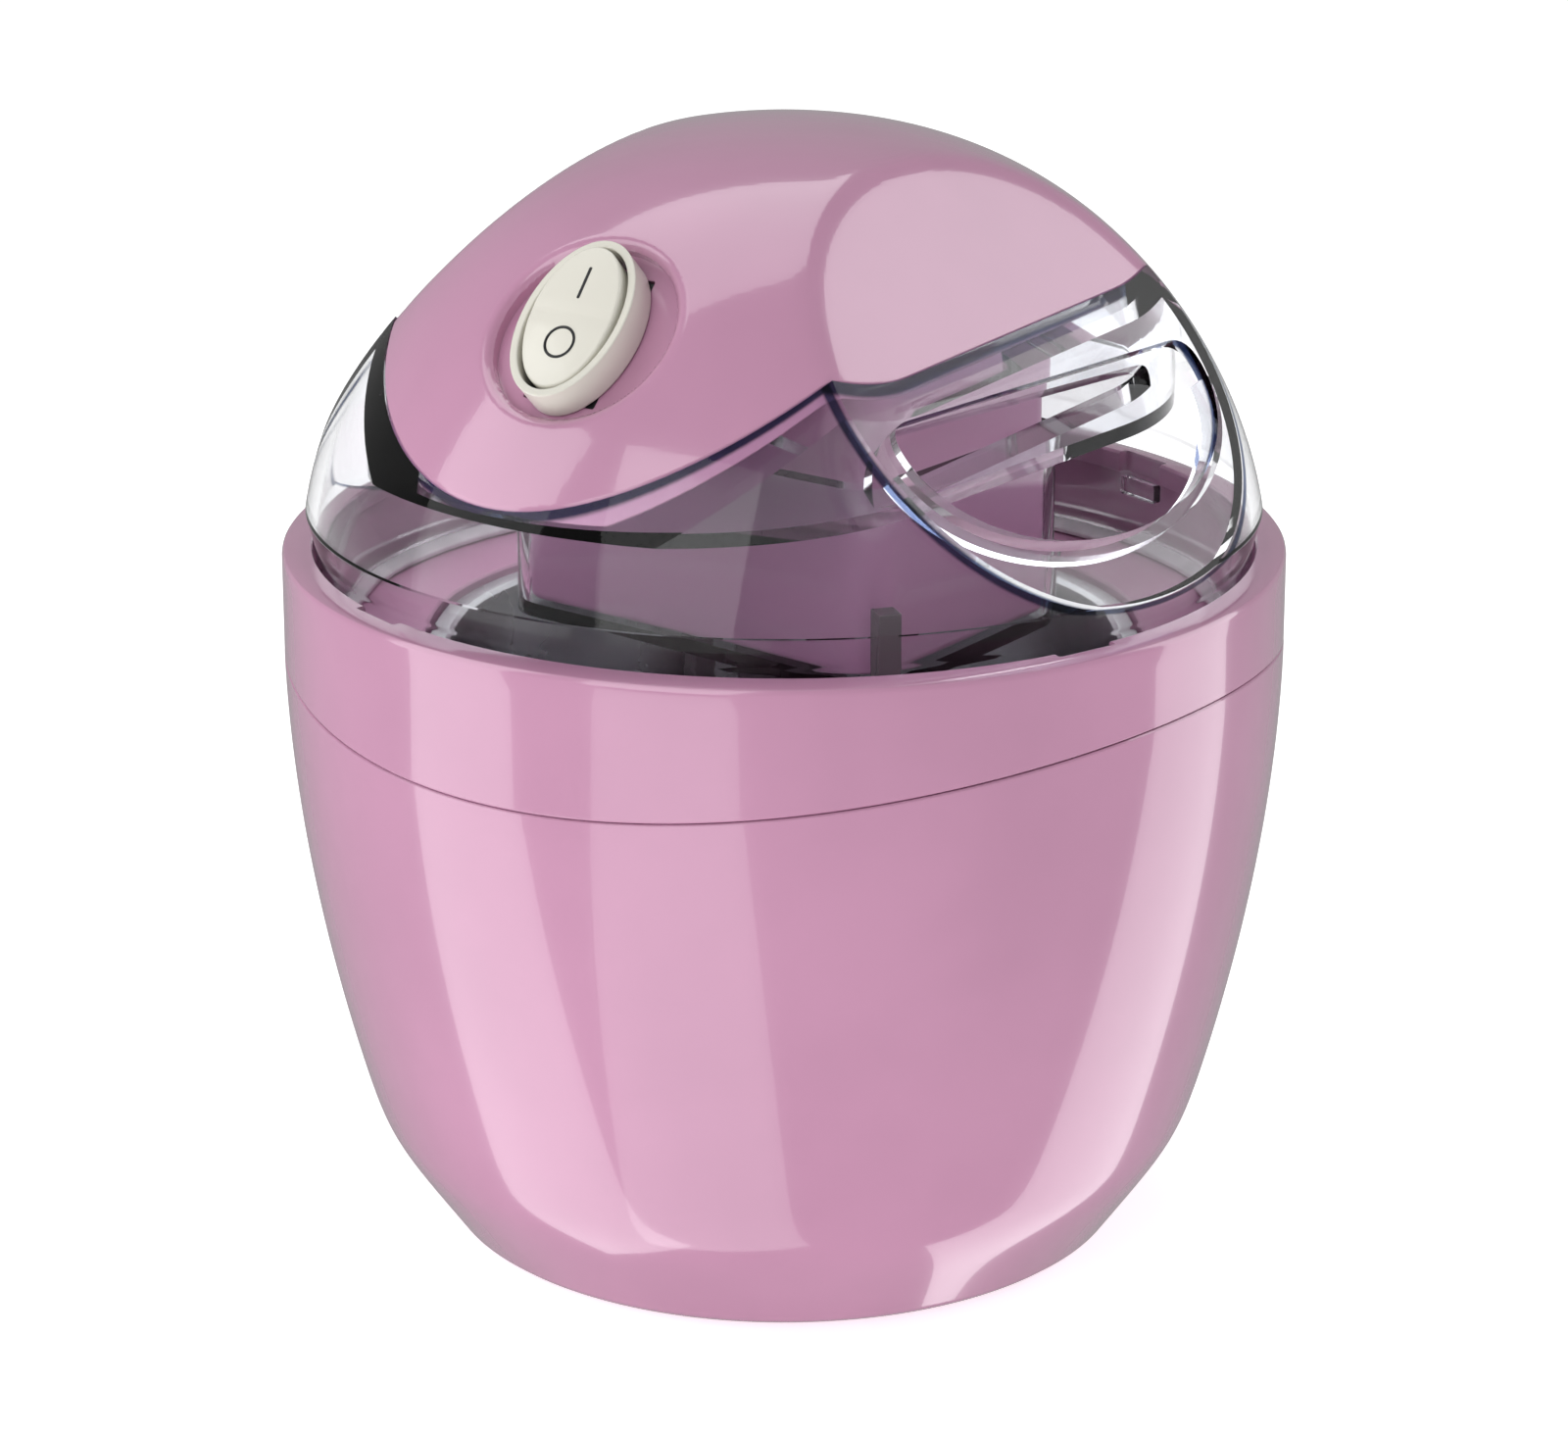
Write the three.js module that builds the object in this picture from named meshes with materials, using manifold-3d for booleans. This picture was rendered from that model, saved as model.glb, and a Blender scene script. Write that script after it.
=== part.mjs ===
// A compact ice cream maker: a freezer bowl in a round housing, a clear faceted lid over it,
// and a motor unit that bridges the lid and turns the mixing paddle.
// Millimetres, +Z up. The origin is the middle of the footprint, on the table. The front is -Y.
import * as THREE from 'three';
import { mergeVertices } from 'three/addons/utils/BufferGeometryUtils.js';
import Module from 'manifold-3d';

const wasm = await Module();
wasm.setup();

// ---------------------------------------------------------------- driving dimensions
const GAP = 0.3;                 // running clearance between pieces that touch
const ROUND = 36;                // sides of the large turned pieces
const FINE = 12;                 // sides of the small turned pieces

const LIP_HEIGHT = 128;          // top of the collar, where the dome starts
const COLLAR_RADIUS = 90;
const LIP_INNER_RADIUS = 84.5;
const HOUSING_WALL = 2.2;
const HOUSING_BOTTOM = 1.2;      // the housing's underside, held off the table by the feet
const SEAM_HEIGHT = 108.1;       // mean height of the wavy seam between housing and collar
const SEAM_SWING = 5.3;          // the seam rises and falls by this much, twice round
const SEAM_TURN = -33;           // azimuth of a low point of the seam, degrees from the front
const SHELF_TOP = 108;           // ledge in the collar that carries the bowl

const DOME_RADIUS = 86.3;
const DOME_HEIGHT = 74.93;
const DOME_RISE_POWER = 1.675;   // powers of the dome's superellipse profile
const DOME_ROUND_POWER = 2.304;
const TOP_TURN = -38;            // azimuth of the motor band's front end, degrees
const BAND_HALF_WIDTH = 50;      // the motor band in plan is a slot with round ends
const BAND_CENTRE = 30.5;        // half the distance between the centres of its round ends
const SHELL_WALL = 2.4;
const LID_WALL = 2.4;
const SKIRT_RADIUS = 84;
const SKIRT_BOTTOM = 113.4;
const RIGHT_FACET = { turn: 87, tilt: 41.6, reach: 67.6 };
const LEFT_FACET = { turn: -85, tilt: 38, reach: 66 };

const DECK_TOP = 150;            // floor of the lid's tub, inside the motor band's outline
const DECK_THICK = 2;
const POD = { halfX: 40, halfY: 27, corner: 6, bottom: 115.7, wall: 2.2 };
const WELL = { halfX: 40.6, halfY: 27.6, wall: 2, floorTop: 115.2, floorThick: 2 };

const OPENING = { halfWidth: 41, depth: 30.5, shift: 1.5, top: 166, rim: 2.2, rimDepth: 6 };

const SWITCH = { turn: 4, tilt: 45, radius: 61.8, height: 179.7 };
const RECESS_RADIUS = 17;
const RECESS_DEPTH = 5;

const BOWL_BOTTOM = 10;
const BOWL_TOP = 106;
const LINER_FLOOR = 30;
const LINER_RIM = 109.1;
const RING_TOP = 110.8;

const GEAR_MODULE = 0.6;
const WHEEL_TEETH = 36;
const PINION_TEETH = 12;
const GEAR_CENTRES = GEAR_MODULE * (WHEEL_TEETH + PINION_TEETH) / 2;

const TABS = 4;
const TAB_TURN = -16;            // azimuth of the first bayonet tab from the band's front end
const PADDLE_TURN = 56;          // azimuth of a paddle blade from the band's front end
const FEET = 4;
const FOOT_CIRCLE = 50;

const DEG = Math.PI / 180;

// ---------------------------------------------------------------- finishes
function finish(color, roughness, metalness = 0) {
  return new THREE.MeshStandardMaterial({ color, roughness, metalness });
}

function clearFinish(color) {
  return new THREE.MeshStandardMaterial({ color, roughness: 0.06, transparent: true, opacity: 0.35 });
}

const PINK = 0xd8a4c2;
const OFF_WHITE = 0xe2e0d6;
const SMOKE = 0x4a464a;
const STEEL = 0xb9bcc0;

// ---------------------------------------------------------------- solids
// Merges the shared corners, drops slivers and turns the faces outwards.
function closedSkin(geometry) {
  const bare = geometry.clone();
  bare.deleteAttribute('normal');
  bare.deleteAttribute('uv');
  const merged = mergeVertices(bare, 1e-4);
  const place = merged.getAttribute('position').array;
  const index = merged.index.array;
  const corner = (i) => new THREE.Vector3().fromArray(place, 3 * i);
  const faces = [];
  let volume = 0;
  for (let i = 0; i < index.length; i += 3) {
    const [a, b, c] = [index[i], index[i + 1], index[i + 2]];
    if (a === b || b === c || c === a) continue;
    faces.push([a, b, c]);
    volume += corner(a).dot(corner(b).cross(corner(c)));
  }
  const outward = volume < 0 ? faces.map(([a, b, c]) => [a, c, b]) : faces;
  return { place: new Float32Array(place), faces: new Uint32Array(outward.flat()) };
}

function solid(geometry) {
  const skin = closedSkin(geometry);
  const mesh = new wasm.Mesh({ numProp: 3, vertProperties: skin.place, triVerts: skin.faces });
  return new wasm.Manifold(mesh);
}

// Joined and cut solids lose their slivers here, within a thirtieth of a millimetre.
function geometryOf(body) {
  const mesh = body.simplify(0.03).getMesh();
  const geometry = new THREE.BufferGeometry();
  geometry.setAttribute('position', new THREE.BufferAttribute(mesh.vertProperties, 3));
  geometry.setIndex(new THREE.BufferAttribute(mesh.triVerts, 1));
  geometry.computeVertexNormals();
  return geometry;
}

function piece(name, body, material) {
  const geometry = body instanceof THREE.BufferGeometry ? body : geometryOf(body);
  const mesh = new THREE.Mesh(geometry, material);
  mesh.name = name;
  return mesh;
}

// A turned shape about Z, from [radius, height] points that start and end on the axis.
function turned(profile, sides = ROUND) {
  const points = profile.map(([radius, height]) => new THREE.Vector2(radius, height));
  return new THREE.LatheGeometry(points, sides).rotateX(Math.PI / 2);
}

// The same for a ring, whose profile closes on itself.
function turnedRing(profile, sides = ROUND) {
  return turned([...profile, profile[0]], sides);
}

function rod(radius, bottom, top, sides = FINE) {
  const height = top - bottom;
  return new THREE.CylinderGeometry(radius, radius, height, sides)
    .rotateX(Math.PI / 2)
    .translate(0, 0, bottom + height / 2);
}

function block(sizeX, sizeY, bottom, top) {
  return new THREE.BoxGeometry(sizeX, sizeY, top - bottom).translate(0, 0, (top + bottom) / 2);
}

function prism(shape, bottom, top, curveSegments = 12) {
  const options = { depth: top - bottom, bevelEnabled: false, curveSegments };
  return new THREE.ExtrudeGeometry(shape, options).translate(0, 0, bottom);
}

function roundedBlock(halfX, halfY, corner, bottom, top) {
  const shape = new THREE.Shape();
  shape.absarc(halfX - corner, halfY - corner, corner, 0, 90 * DEG);
  shape.absarc(corner - halfX, halfY - corner, corner, 90 * DEG, 180 * DEG);
  shape.absarc(corner - halfX, corner - halfY, corner, 180 * DEG, 270 * DEG);
  shape.absarc(halfX - corner, corner - halfY, corner, 270 * DEG, 360 * DEG);
  return prism(shape, bottom, top, 4);
}

function ovalShape(halfX, halfY) {
  const shape = new THREE.Shape();
  shape.absellipse(0, 0, halfX, halfY, 0, 2 * Math.PI);
  return shape;
}

// ---------------------------------------------------------------- housing and collar
// Radius of the housing: a full curve above, a cone below, run together over a soft bend.
function housingRadius(height) {
  const upper = 90.1 - 14 * (Math.max(0, 111 - height) / 87) ** 1.83;
  const cone = 72.3 - 0.708 * (16 - height);
  return -Math.log(Math.exp(-upper) + Math.exp(-cone));
}

// Lifts the points that lie at the seam's mean height onto the wavy seam.
function waveSeam(geometry, level) {
  const place = geometry.getAttribute('position');
  for (let i = 0; i < place.count; i += 1) {
    if (Math.abs(place.getZ(i) - level) > 0.01) continue;
    const azimuth = Math.atan2(place.getX(i), -place.getY(i));
    const wave = SEAM_SWING * Math.cos(2 * (azimuth - SEAM_TURN * DEG));
    place.setZ(i, level - wave);
  }
  return geometry;
}

const FOOT_HEIGHT = 2.7;
const HOUSING_FLOOR_TOP = 4.6;
const HOUSING_ROWS = [2.6, 10, 15, 18, 22, 32, 48, 68, 90];

function baseHousing() {
  const top = SEAM_HEIGHT - GAP / 2;
  const outer = HOUSING_ROWS.map((height) => [housingRadius(height), height]);
  const innerRows = HOUSING_ROWS.filter((height) => height > HOUSING_FLOOR_TOP);
  const inner = innerRows.map((height) => [housingRadius(height) - HOUSING_WALL, height]).reverse();
  const floorRadius = housingRadius(HOUSING_FLOOR_TOP) - HOUSING_WALL;
  const profile = [
    [0, HOUSING_BOTTOM],
    [60.6, HOUSING_BOTTOM],
    ...outer,
    [90.05, top],
    [90.05 - HOUSING_WALL, top],
    ...inner,
    [floorRadius, HOUSING_FLOOR_TOP],
    [0, HOUSING_FLOOR_TOP],
  ];
  let body = solid(waveSeam(turned(profile), top));
  for (const foot of footPlaces()) {
    const pocket = rod(7.3, HOUSING_BOTTOM - 1, FOOT_HEIGHT + GAP).translate(foot.x, foot.y, 0);
    body = body.subtract(solid(pocket));
  }
  return body;
}

function footPlaces() {
  const places = [];
  for (let i = 0; i < FEET; i += 1) {
    const azimuth = (45 + 360 * i / FEET) * DEG;
    places.push({ x: FOOT_CIRCLE * Math.sin(azimuth), y: -FOOT_CIRCLE * Math.cos(azimuth) });
  }
  return places;
}

function foot() {
  return turned([[0, 0], [6.2, 0], [7, 0.8], [7, FOOT_HEIGHT], [0, FOOT_HEIGHT]], FINE);
}

// Bayonet tabs stand on the lid, and the collar's lip has a notch over each at rest.
function tabAzimuths() {
  return Array.from({ length: TABS }, (_, i) => (TAB_TURN + 360 * i / TABS) * DEG);
}

function collarRing() {
  const seam = SEAM_HEIGHT + GAP / 2;
  const profile = [
    [LIP_INNER_RADIUS, 128.4],
    [89.5, 128.05],
    [COLLAR_RADIUS, 127.6],
    [90.05, seam],
    [87.4, seam],
    [86.8, 96],
    [84.9, 96],
    [84.9, SHELF_TOP - 2.5],
    [78.5, SHELF_TOP - 2.5],
    [78.5, SHELF_TOP],
    [86.4, SHELF_TOP],
    [86.4, 124.6],
    [LIP_INNER_RADIUS, 124.6],
  ];
  let body = solid(waveSeam(turnedRing(profile), seam));
  for (const azimuth of tabAzimuths()) {
    const notch = new THREE.BoxGeometry(12, 2.9, 6)
      .translate(0, -84.6, 127)
      .rotateZ(azimuth + TOP_TURN * DEG);
    body = body.subtract(solid(notch));
  }
  return body;
}

// ---------------------------------------------------------------- freezer bowl
function bowlOuter() {
  return turnedRing([
    [5, BOWL_BOTTOM], [57, BOWL_BOTTOM], [62, 15], [74, BOWL_TOP],
    [72, BOWL_TOP], [60.2, 16], [56.2, BOWL_BOTTOM + 2], [5, BOWL_BOTTOM + 2],
  ]);
}

function bowlLiner() {
  return turned([
    [0, LINER_FLOOR - 1.5], [49.5, LINER_FLOOR - 1.5], [54.6, 31.1], [57.6, 37.3], [62, 107.6],
    [64.6, 107.6], [64.6, LINER_RIM], [60.5, LINER_RIM],
    [56, 37.7], [53.5, 32.6], [49, LINER_FLOOR], [0, LINER_FLOOR],
  ]);
}

function coolantGel() {
  return turned([
    [0, 12.7], [55.8, 12.7], [59.6, 16.6], [70.5, 100], [62.1, 100],
    [58.1, 37.2], [55, 30.7], [49.7, 28.1], [0, 28.1],
  ]);
}

function bowlRing() {
  return turnedRing([
    [65, 106.4], [76, 106.4], [76, SHELF_TOP + GAP], [84, SHELF_TOP + GAP],
    [84, RING_TOP - 0.4], [83.6, RING_TOP], [65.4, 110.4], [65, 110],
  ]);
}

function fillerPlug() {
  return turned([[0, 8.2], [7.6, 8.2], [8, 8.6], [8, 9.6], [4.6, 9.6], [4.6, 12.3], [0, 12.3]], FINE);
}

function lidSeal() {
  return turnedRing([
    [79.5, RING_TOP + GAP], [83.5, RING_TOP + GAP], [83.5, SKIRT_BOTTOM - GAP],
    [81.5, SKIRT_BOTTOM - GAP], [79.5, RING_TOP + 1.2],
  ]);
}

// ---------------------------------------------------------------- dome, band and facets
// A point of the dome's profile: angle 0 is at the lip and 90 at the top. Inset runs inwards.
function domePoint(angle, inset) {
  const at = (a) => new THREE.Vector2(
    DOME_RADIUS * Math.cos(a * DEG) ** (2 / DOME_ROUND_POWER),
    DOME_HEIGHT * Math.sin(a * DEG) ** (2 / DOME_RISE_POWER),
  );
  const here = at(angle);
  const along = at(angle + 0.5).sub(at(angle - 0.5)).normalize();
  return [here.x - along.y * inset, LIP_HEIGHT + here.y + along.x * inset];
}

const DOME_STEPS = 8;
const DOME_FIRST_ANGLE = 8;

function domeBody(inset, bottom) {
  const profile = [[0, bottom], [SKIRT_RADIUS - inset, bottom], [SKIRT_RADIUS - inset, LIP_HEIGHT + 0.6]];
  for (let i = 0; i < DOME_STEPS; i += 1) {
    profile.push(domePoint(DOME_FIRST_ANGLE + (89 - DOME_FIRST_ANGLE) * i / (DOME_STEPS - 1), inset));
  }
  profile.push([0, LIP_HEIGHT + DOME_HEIGHT - inset]);
  return solid(turned(profile))
    .subtract(beyondFacet(RIGHT_FACET, inset))
    .subtract(beyondFacet(LEFT_FACET, inset));
}

// A facet's own frame: X level along it, Y up its slope, Z out of it, at the given height.
function facetFrame(facet, height) {
  const [turn, tilt] = [facet.turn * DEG, facet.tilt * DEG];
  const level = new THREE.Vector3(Math.cos(turn), Math.sin(turn), 0);
  const out = new THREE.Vector3(
    Math.sin(turn) * Math.cos(tilt),
    -Math.cos(turn) * Math.cos(tilt),
    Math.sin(tilt),
  );
  const up = new THREE.Vector3().crossVectors(out, level);
  const reach = (facet.reach - (height - LIP_HEIGHT) * Math.sin(tilt)) / Math.cos(tilt);
  const frame = new THREE.Matrix4().makeBasis(level, up, out);
  return frame.setPosition(Math.sin(turn) * reach, -Math.cos(turn) * reach, height);
}

function beyondFacet(facet, inset) {
  const cutter = new THREE.BoxGeometry(300, 300, 80).translate(0, 0, 40 - inset);
  return solid(cutter.applyMatrix4(facetFrame(facet, LIP_HEIGHT + 30)));
}

// The motor band's outline in plan: a slot whose long axis runs front to back.
function band(halfWidth, bottom, top) {
  const shape = new THREE.Shape();
  shape.absarc(0, BAND_CENTRE, halfWidth, 0, Math.PI);
  shape.absarc(0, -BAND_CENTRE, halfWidth, Math.PI, 2 * Math.PI);
  return solid(prism(shape, bottom, top, 12));
}

const ABOVE_ALL = LIP_HEIGHT + DOME_HEIGHT + 10;

// ---------------------------------------------------------------- lid
function openingShape(grow) {
  const wide = OPENING.halfWidth + grow;
  const corner = 5;
  const shape = new THREE.Shape();
  shape.moveTo(corner - wide, grow);
  shape.quadraticCurveTo(-wide, grow, -wide, grow - corner);
  shape.absellipse(0, -corner, wide, OPENING.depth - corner + grow, Math.PI, 2 * Math.PI);
  shape.quadraticCurveTo(wide, grow, wide - corner, grow);
  return shape;
}

function openingSolid(grow, inward, outward) {
  const shape = prism(openingShape(grow), -inward, outward, 9).translate(OPENING.shift, 0, 0);
  return solid(shape.applyMatrix4(facetFrame(RIGHT_FACET, OPENING.top)));
}

function lid() {
  const outer = domeBody(0, SKIRT_BOTTOM);
  const gapWidth = BAND_HALF_WIDTH + GAP;
  const tub = band(gapWidth + LID_WALL, DECK_TOP - DECK_THICK, ABOVE_ALL).intersect(outer);
  const rim = openingSolid(OPENING.rim, OPENING.rimDepth, 1)
    .intersect(outer)
    .subtract(aboveOpeningCorners());
  const wellBottom = WELL.floorTop - WELL.floorThick;
  const wellOuter = roundedBlock(
    WELL.halfX + WELL.wall, WELL.halfY + WELL.wall, POD.corner + 2.6, wellBottom, DECK_TOP,
  );
  return outer
    .subtract(domeBody(LID_WALL, SKIRT_BOTTOM - 5))
    .add(tub)
    .add(rim)
    .add(solid(wellOuter))
    .add(tabs())
    .subtract(band(gapWidth, DECK_TOP, ABOVE_ALL))
    .subtract(solid(roundedBlock(WELL.halfX, WELL.halfY, POD.corner + 0.6, WELL.floorTop, DECK_TOP + 1)))
    .subtract(solid(rod(7.2, wellBottom - 1, WELL.floorTop + 1)))
    .subtract(openingSolid(0, 12, 5));
}

// The opening's rim runs round its curve only, so this holds what lies above its corners.
function aboveOpeningCorners() {
  const slab = new THREE.BoxGeometry(120, 20, 30).translate(0, 2, 0);
  return solid(slab.applyMatrix4(facetFrame(RIGHT_FACET, OPENING.top)));
}

function tabs() {
  const parts = tabAzimuths().map((azimuth) => {
    const tab = new THREE.BoxGeometry(10, 2.8, 3.4).translate(0, -84.4, 122.4).rotateZ(azimuth);
    return solid(tab);
  });
  return parts.reduce((all, tab) => all.add(tab));
}

function driveBush() {
  const floorBottom = WELL.floorTop - WELL.floorThick;
  return turnedRing([
    [5, floorBottom - 2], [9.5, floorBottom - 2], [9.5, floorBottom - GAP],
    [6.9, floorBottom - GAP], [6.9, WELL.floorTop], [5, WELL.floorTop],
  ], FINE);
}

// ---------------------------------------------------------------- paddle
const PEG_BOTTOM = -15.7;        // lower end of the drive peg, from the pod's underside
const BLADE_TURN = (PADDLE_TURN - 90) * DEG;  // turns the frame's plane, which is built on X
const PADDLE = { thick: 4, hubRadius: 8.5, hubTop: 110.4, hubBottom: 97, armTop: 109, armBottom: 103 };

function paddle() {
  const outline = new THREE.Shape();
  outline.moveTo(-53.5, 130);
  outline.lineTo(-58, 130);
  outline.lineTo(-58, 112);
  outline.lineTo(-54.3, 44);
  outline.quadraticCurveTo(-54, 32, -44, 32);
  outline.lineTo(44, 32);
  outline.quadraticCurveTo(54, 32, 54.3, 44);
  outline.lineTo(58, 112);
  outline.lineTo(58, 130);
  outline.lineTo(53.5, 130);
  outline.lineTo(53.5, PADDLE.armTop);
  outline.lineTo(-53.5, PADDLE.armTop);
  const window = new THREE.Path();
  window.moveTo(-50, PADDLE.armBottom);
  window.lineTo(50, PADDLE.armBottom);
  window.lineTo(46, 48);
  window.quadraticCurveTo(45.5, 40, 38, 40);
  window.lineTo(-38, 40);
  window.quadraticCurveTo(-45.5, 40, -46, 48);
  outline.holes.push(window);
  const frame = prism(outline, -PADDLE.thick / 2, PADDLE.thick / 2, 5).rotateX(Math.PI / 2);
  const socket = block(6.8, 6.8, POD.bottom + PEG_BOTTOM - 1, PADDLE.hubTop + 1).rotateZ(-BLADE_TURN);
  return solid(frame)
    .add(solid(rod(PADDLE.hubRadius, PADDLE.hubBottom, PADDLE.hubTop)))
    .subtract(solid(socket));
}

// ---------------------------------------------------------------- gears
// Gears and motor stand in the pod, and their heights count from its underside.
// Trapezoid teeth with backlash. Phase counts in teeth.
function gearShape(teeth, phase, bore) {
  const tip = GEAR_MODULE * (teeth / 2 + 0.8);
  const root = GEAR_MODULE * (teeth / 2 - 1.2);
  const pitch = 2 * Math.PI / teeth;
  const points = [];
  for (let i = 0; i < teeth; i += 1) {
    const corners = [[root, -0.26], [tip, -0.1], [tip, 0.1], [root, 0.26]];
    for (const [radius, side] of corners) {
      const angle = (i + phase + side) * pitch;
      points.push(new THREE.Vector2(radius * Math.cos(angle), radius * Math.sin(angle)));
    }
  }
  const shape = new THREE.Shape(points);
  if (bore > 0) {
    const hole = new THREE.Path();
    hole.absarc(0, 0, bore, 0, 2 * Math.PI);
    shape.holes.push(hole);
  }
  return shape;
}

function gear(teeth, phase, bottom, top, bore = 0) {
  return solid(prism(gearShape(teeth, phase, bore), bottom, top, 8));
}

function outputGear() {
  return gear(WHEEL_TEETH, 0, 5.7, 8.7)
    .add(solid(rod(3, 2.8, 9.3)))
    .add(solid(block(6.2, 6.2, PEG_BOTTOM, 3.3)));
}

const AXLE_BORE = 1.3;

function idlerGear() {
  return gear(PINION_TEETH, 0.5, 5.5, 11.3, AXLE_BORE)
    .add(gear(WHEEL_TEETH, 0.5, 10.5, 13.1, AXLE_BORE));
}

function rotor() {
  return gear(PINION_TEETH, 0, 10.3, 13.7)
    .add(solid(rod(1, 13.3, 38.9, 10)))
    .add(solid(rod(9, 20.3, 35.3)));
}

// ---------------------------------------------------------------- motor
const LOWER_PLATE = 3.7;
const UPPER_PLATE = 14.7;
const PLATE_THICK = 1.2;
const CAN = { radius: 23, wall: 1, bottom: 16.2, top: 38.9 };

function gearPlate(bottom, centreBore) {
  const plate = solid(roundedBlock(29, 21, 3, bottom, bottom + PLATE_THICK));
  const holes = [[0, centreBore], [GEAR_CENTRES, AXLE_BORE]];
  return holes.reduce((body, [x, radius]) => {
    const drill = rod(radius, bottom - 1, bottom + PLATE_THICK + 1).translate(x, 0, 0);
    return body.subtract(solid(drill));
  }, plate);
}

function pillarPlaces() {
  return [[-1, -1], [1, -1], [1, 1], [-1, 1]].map(([x, y]) => ({ x: 26 * x, y: 17.5 * y }));
}

function motorCan() {
  const { radius, wall, bottom, top } = CAN;
  return turnedRing([
    [radius - wall, bottom], [radius, bottom], [radius, top], [1.3, top],
    [1.3, top - wall], [radius - wall, top - wall],
  ], 24);
}

function statorCoil() {
  return turnedRing([[10, 18.8], [21.5, 18.8], [21.5, 37.1], [10, 37.1]], 24);
}

// ---------------------------------------------------------------- motor unit's covers
function screwPlaces() {
  return [[-1, -1], [1, -1], [1, 1], [-1, 1]].map(([x, y]) => ({ x: 33.8 * x, y: 20.4 * y }));
}

// The switch's own frame: Z out of the shell, -Y down its slope, origin on the dome.
function switchFrame() {
  const turn = new THREE.Matrix4().makeRotationZ(SWITCH.turn * DEG);
  const tilt = new THREE.Matrix4().makeRotationX((90 - SWITCH.tilt) * DEG);
  const azimuth = SWITCH.turn * DEG;
  const place = new THREE.Matrix4().makeTranslation(
    SWITCH.radius * Math.sin(azimuth),
    -SWITCH.radius * Math.cos(azimuth),
    SWITCH.height,
  );
  return place.multiply(turn).multiply(tilt);
}

function atSwitch(geometry) {
  return solid(geometry.applyMatrix4(switchFrame()));
}

// The gland's frame at the back end of the band, Z out of the shell.
function atGland(geometry) {
  const [lean, back, height] = [54.8, 71.4, 168.3];
  return solid(geometry.rotateX(-lean * DEG).translate(0, back, height));
}

function motorShell() {
  const outer = domeBody(0, SKIRT_BOTTOM);
  const cup = atSwitch(rod(RECESS_RADIUS + 1.9, -RECESS_DEPTH - 2.2, 12, 28)).intersect(outer);
  let body = outer
    .subtract(domeBody(SHELL_WALL, SKIRT_BOTTOM - 5))
    .intersect(band(BAND_HALF_WIDTH, DECK_TOP + 0.6, ABOVE_ALL))
    .add(cup)
    .subtract(atSwitch(rod(RECESS_RADIUS, -RECESS_DEPTH, 20, 28)))
    .subtract(atSwitch(block(14.6, 25.6, -12, 0)))
    .subtract(atGland(rod(4.6, -12, 8)));
  const inside = domeBody(1, SKIRT_BOTTOM);
  for (const { x, y } of screwPlaces()) {
    const boss = solid(rod(3.4, 149.9, ABOVE_ALL).translate(x, y, 0)).intersect(inside);
    const hole = solid(rod(1.8, 140, 163, 10).translate(x, y, 0));
    body = body.add(boss).subtract(hole);
  }
  return body;
}

const BELLY = { inset: 2.8, wall: 1.8, halfWidth: 45 };

function motorHousing() {
  const under = domeBody(BELLY.inset, SKIRT_BOTTOM);
  const skin = under
    .subtract(domeBody(BELLY.inset + BELLY.wall, SKIRT_BOTTOM - 5))
    .intersect(band(BELLY.halfWidth, DECK_TOP + 1, ABOVE_ALL));
  const pod = solid(roundedBlock(POD.halfX, POD.halfY, POD.corner, POD.bottom, ABOVE_ALL));
  const podSpace = roundedBlock(
    POD.halfX - POD.wall, POD.halfY - POD.wall, POD.corner - 2, POD.bottom + POD.wall, ABOVE_ALL,
  );
  let body = skin
    .add(pod.intersect(under))
    .add(atSwitch(rod(21.2, -9.8, 2, 28)).intersect(under))
    .add(atSwitch(block(18, 29, -20, -8)))
    .subtract(solid(podSpace))
    .subtract(atSwitch(rod(19.4, -8, 20, 28)))
    .subtract(atSwitch(block(15.2, 26.2, -18.2, 0)))
    .subtract(atGland(rod(6.4, -12, 8)))
    .subtract(solid(rod(6, POD.bottom - 1, POD.bottom + POD.wall + 1)));
  for (const { x, y } of screwPlaces()) {
    const post = rod(4.6, POD.bottom + 1, 149.5).translate(x, y, 0);
    const reach = solid(roundedBlock(POD.halfX - 1, POD.halfY - 1, POD.corner, POD.bottom, 150));
    body = body
      .add(solid(post).intersect(reach))
      .subtract(solid(rod(3.3, POD.bottom - 1, 146.2).translate(x, y, 0)))
      .subtract(solid(rod(1.9, 146, 150, 10).translate(x, y, 0)));
  }
  return body;
}

function housingScrew({ x, y }) {
  return turned([[0, 143.2], [2.9, 143.4], [2.9, 145.6], [1.5, 145.9], [1.5, 161], [0, 162]], 10)
    .translate(x, y, 0);
}

function cordGland() {
  const profile = [
    [2.9, -5.4], [5.8, -5.4], [5.8, -3.5], [4.3, -3.5], [4.3, 0.4],
    [6.2, 0.4], [6.2, 1.9], [4.6, 5.5], [2.9, 5.5],
  ];
  return atGland(turnedRing(profile, FINE));
}

// ---------------------------------------------------------------- switch
const ROCKER_PIVOT = -1.2;       // height of the rocker's pivot above the dome, in the switch's frame

function switchBezel() {
  const ring = ovalShape(10.3, 15.5);
  ring.holes.push(ovalShape(8.9, 14.1));
  return atSwitch(prism(ring, -RECESS_DEPTH + GAP, 1.6, 12))
    .subtract(atSwitch(new THREE.CylinderGeometry(1.5, 1.5, 19.4, 12).rotateZ(Math.PI / 2)
      .translate(0, 0, ROCKER_PIVOT)));
}

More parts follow.
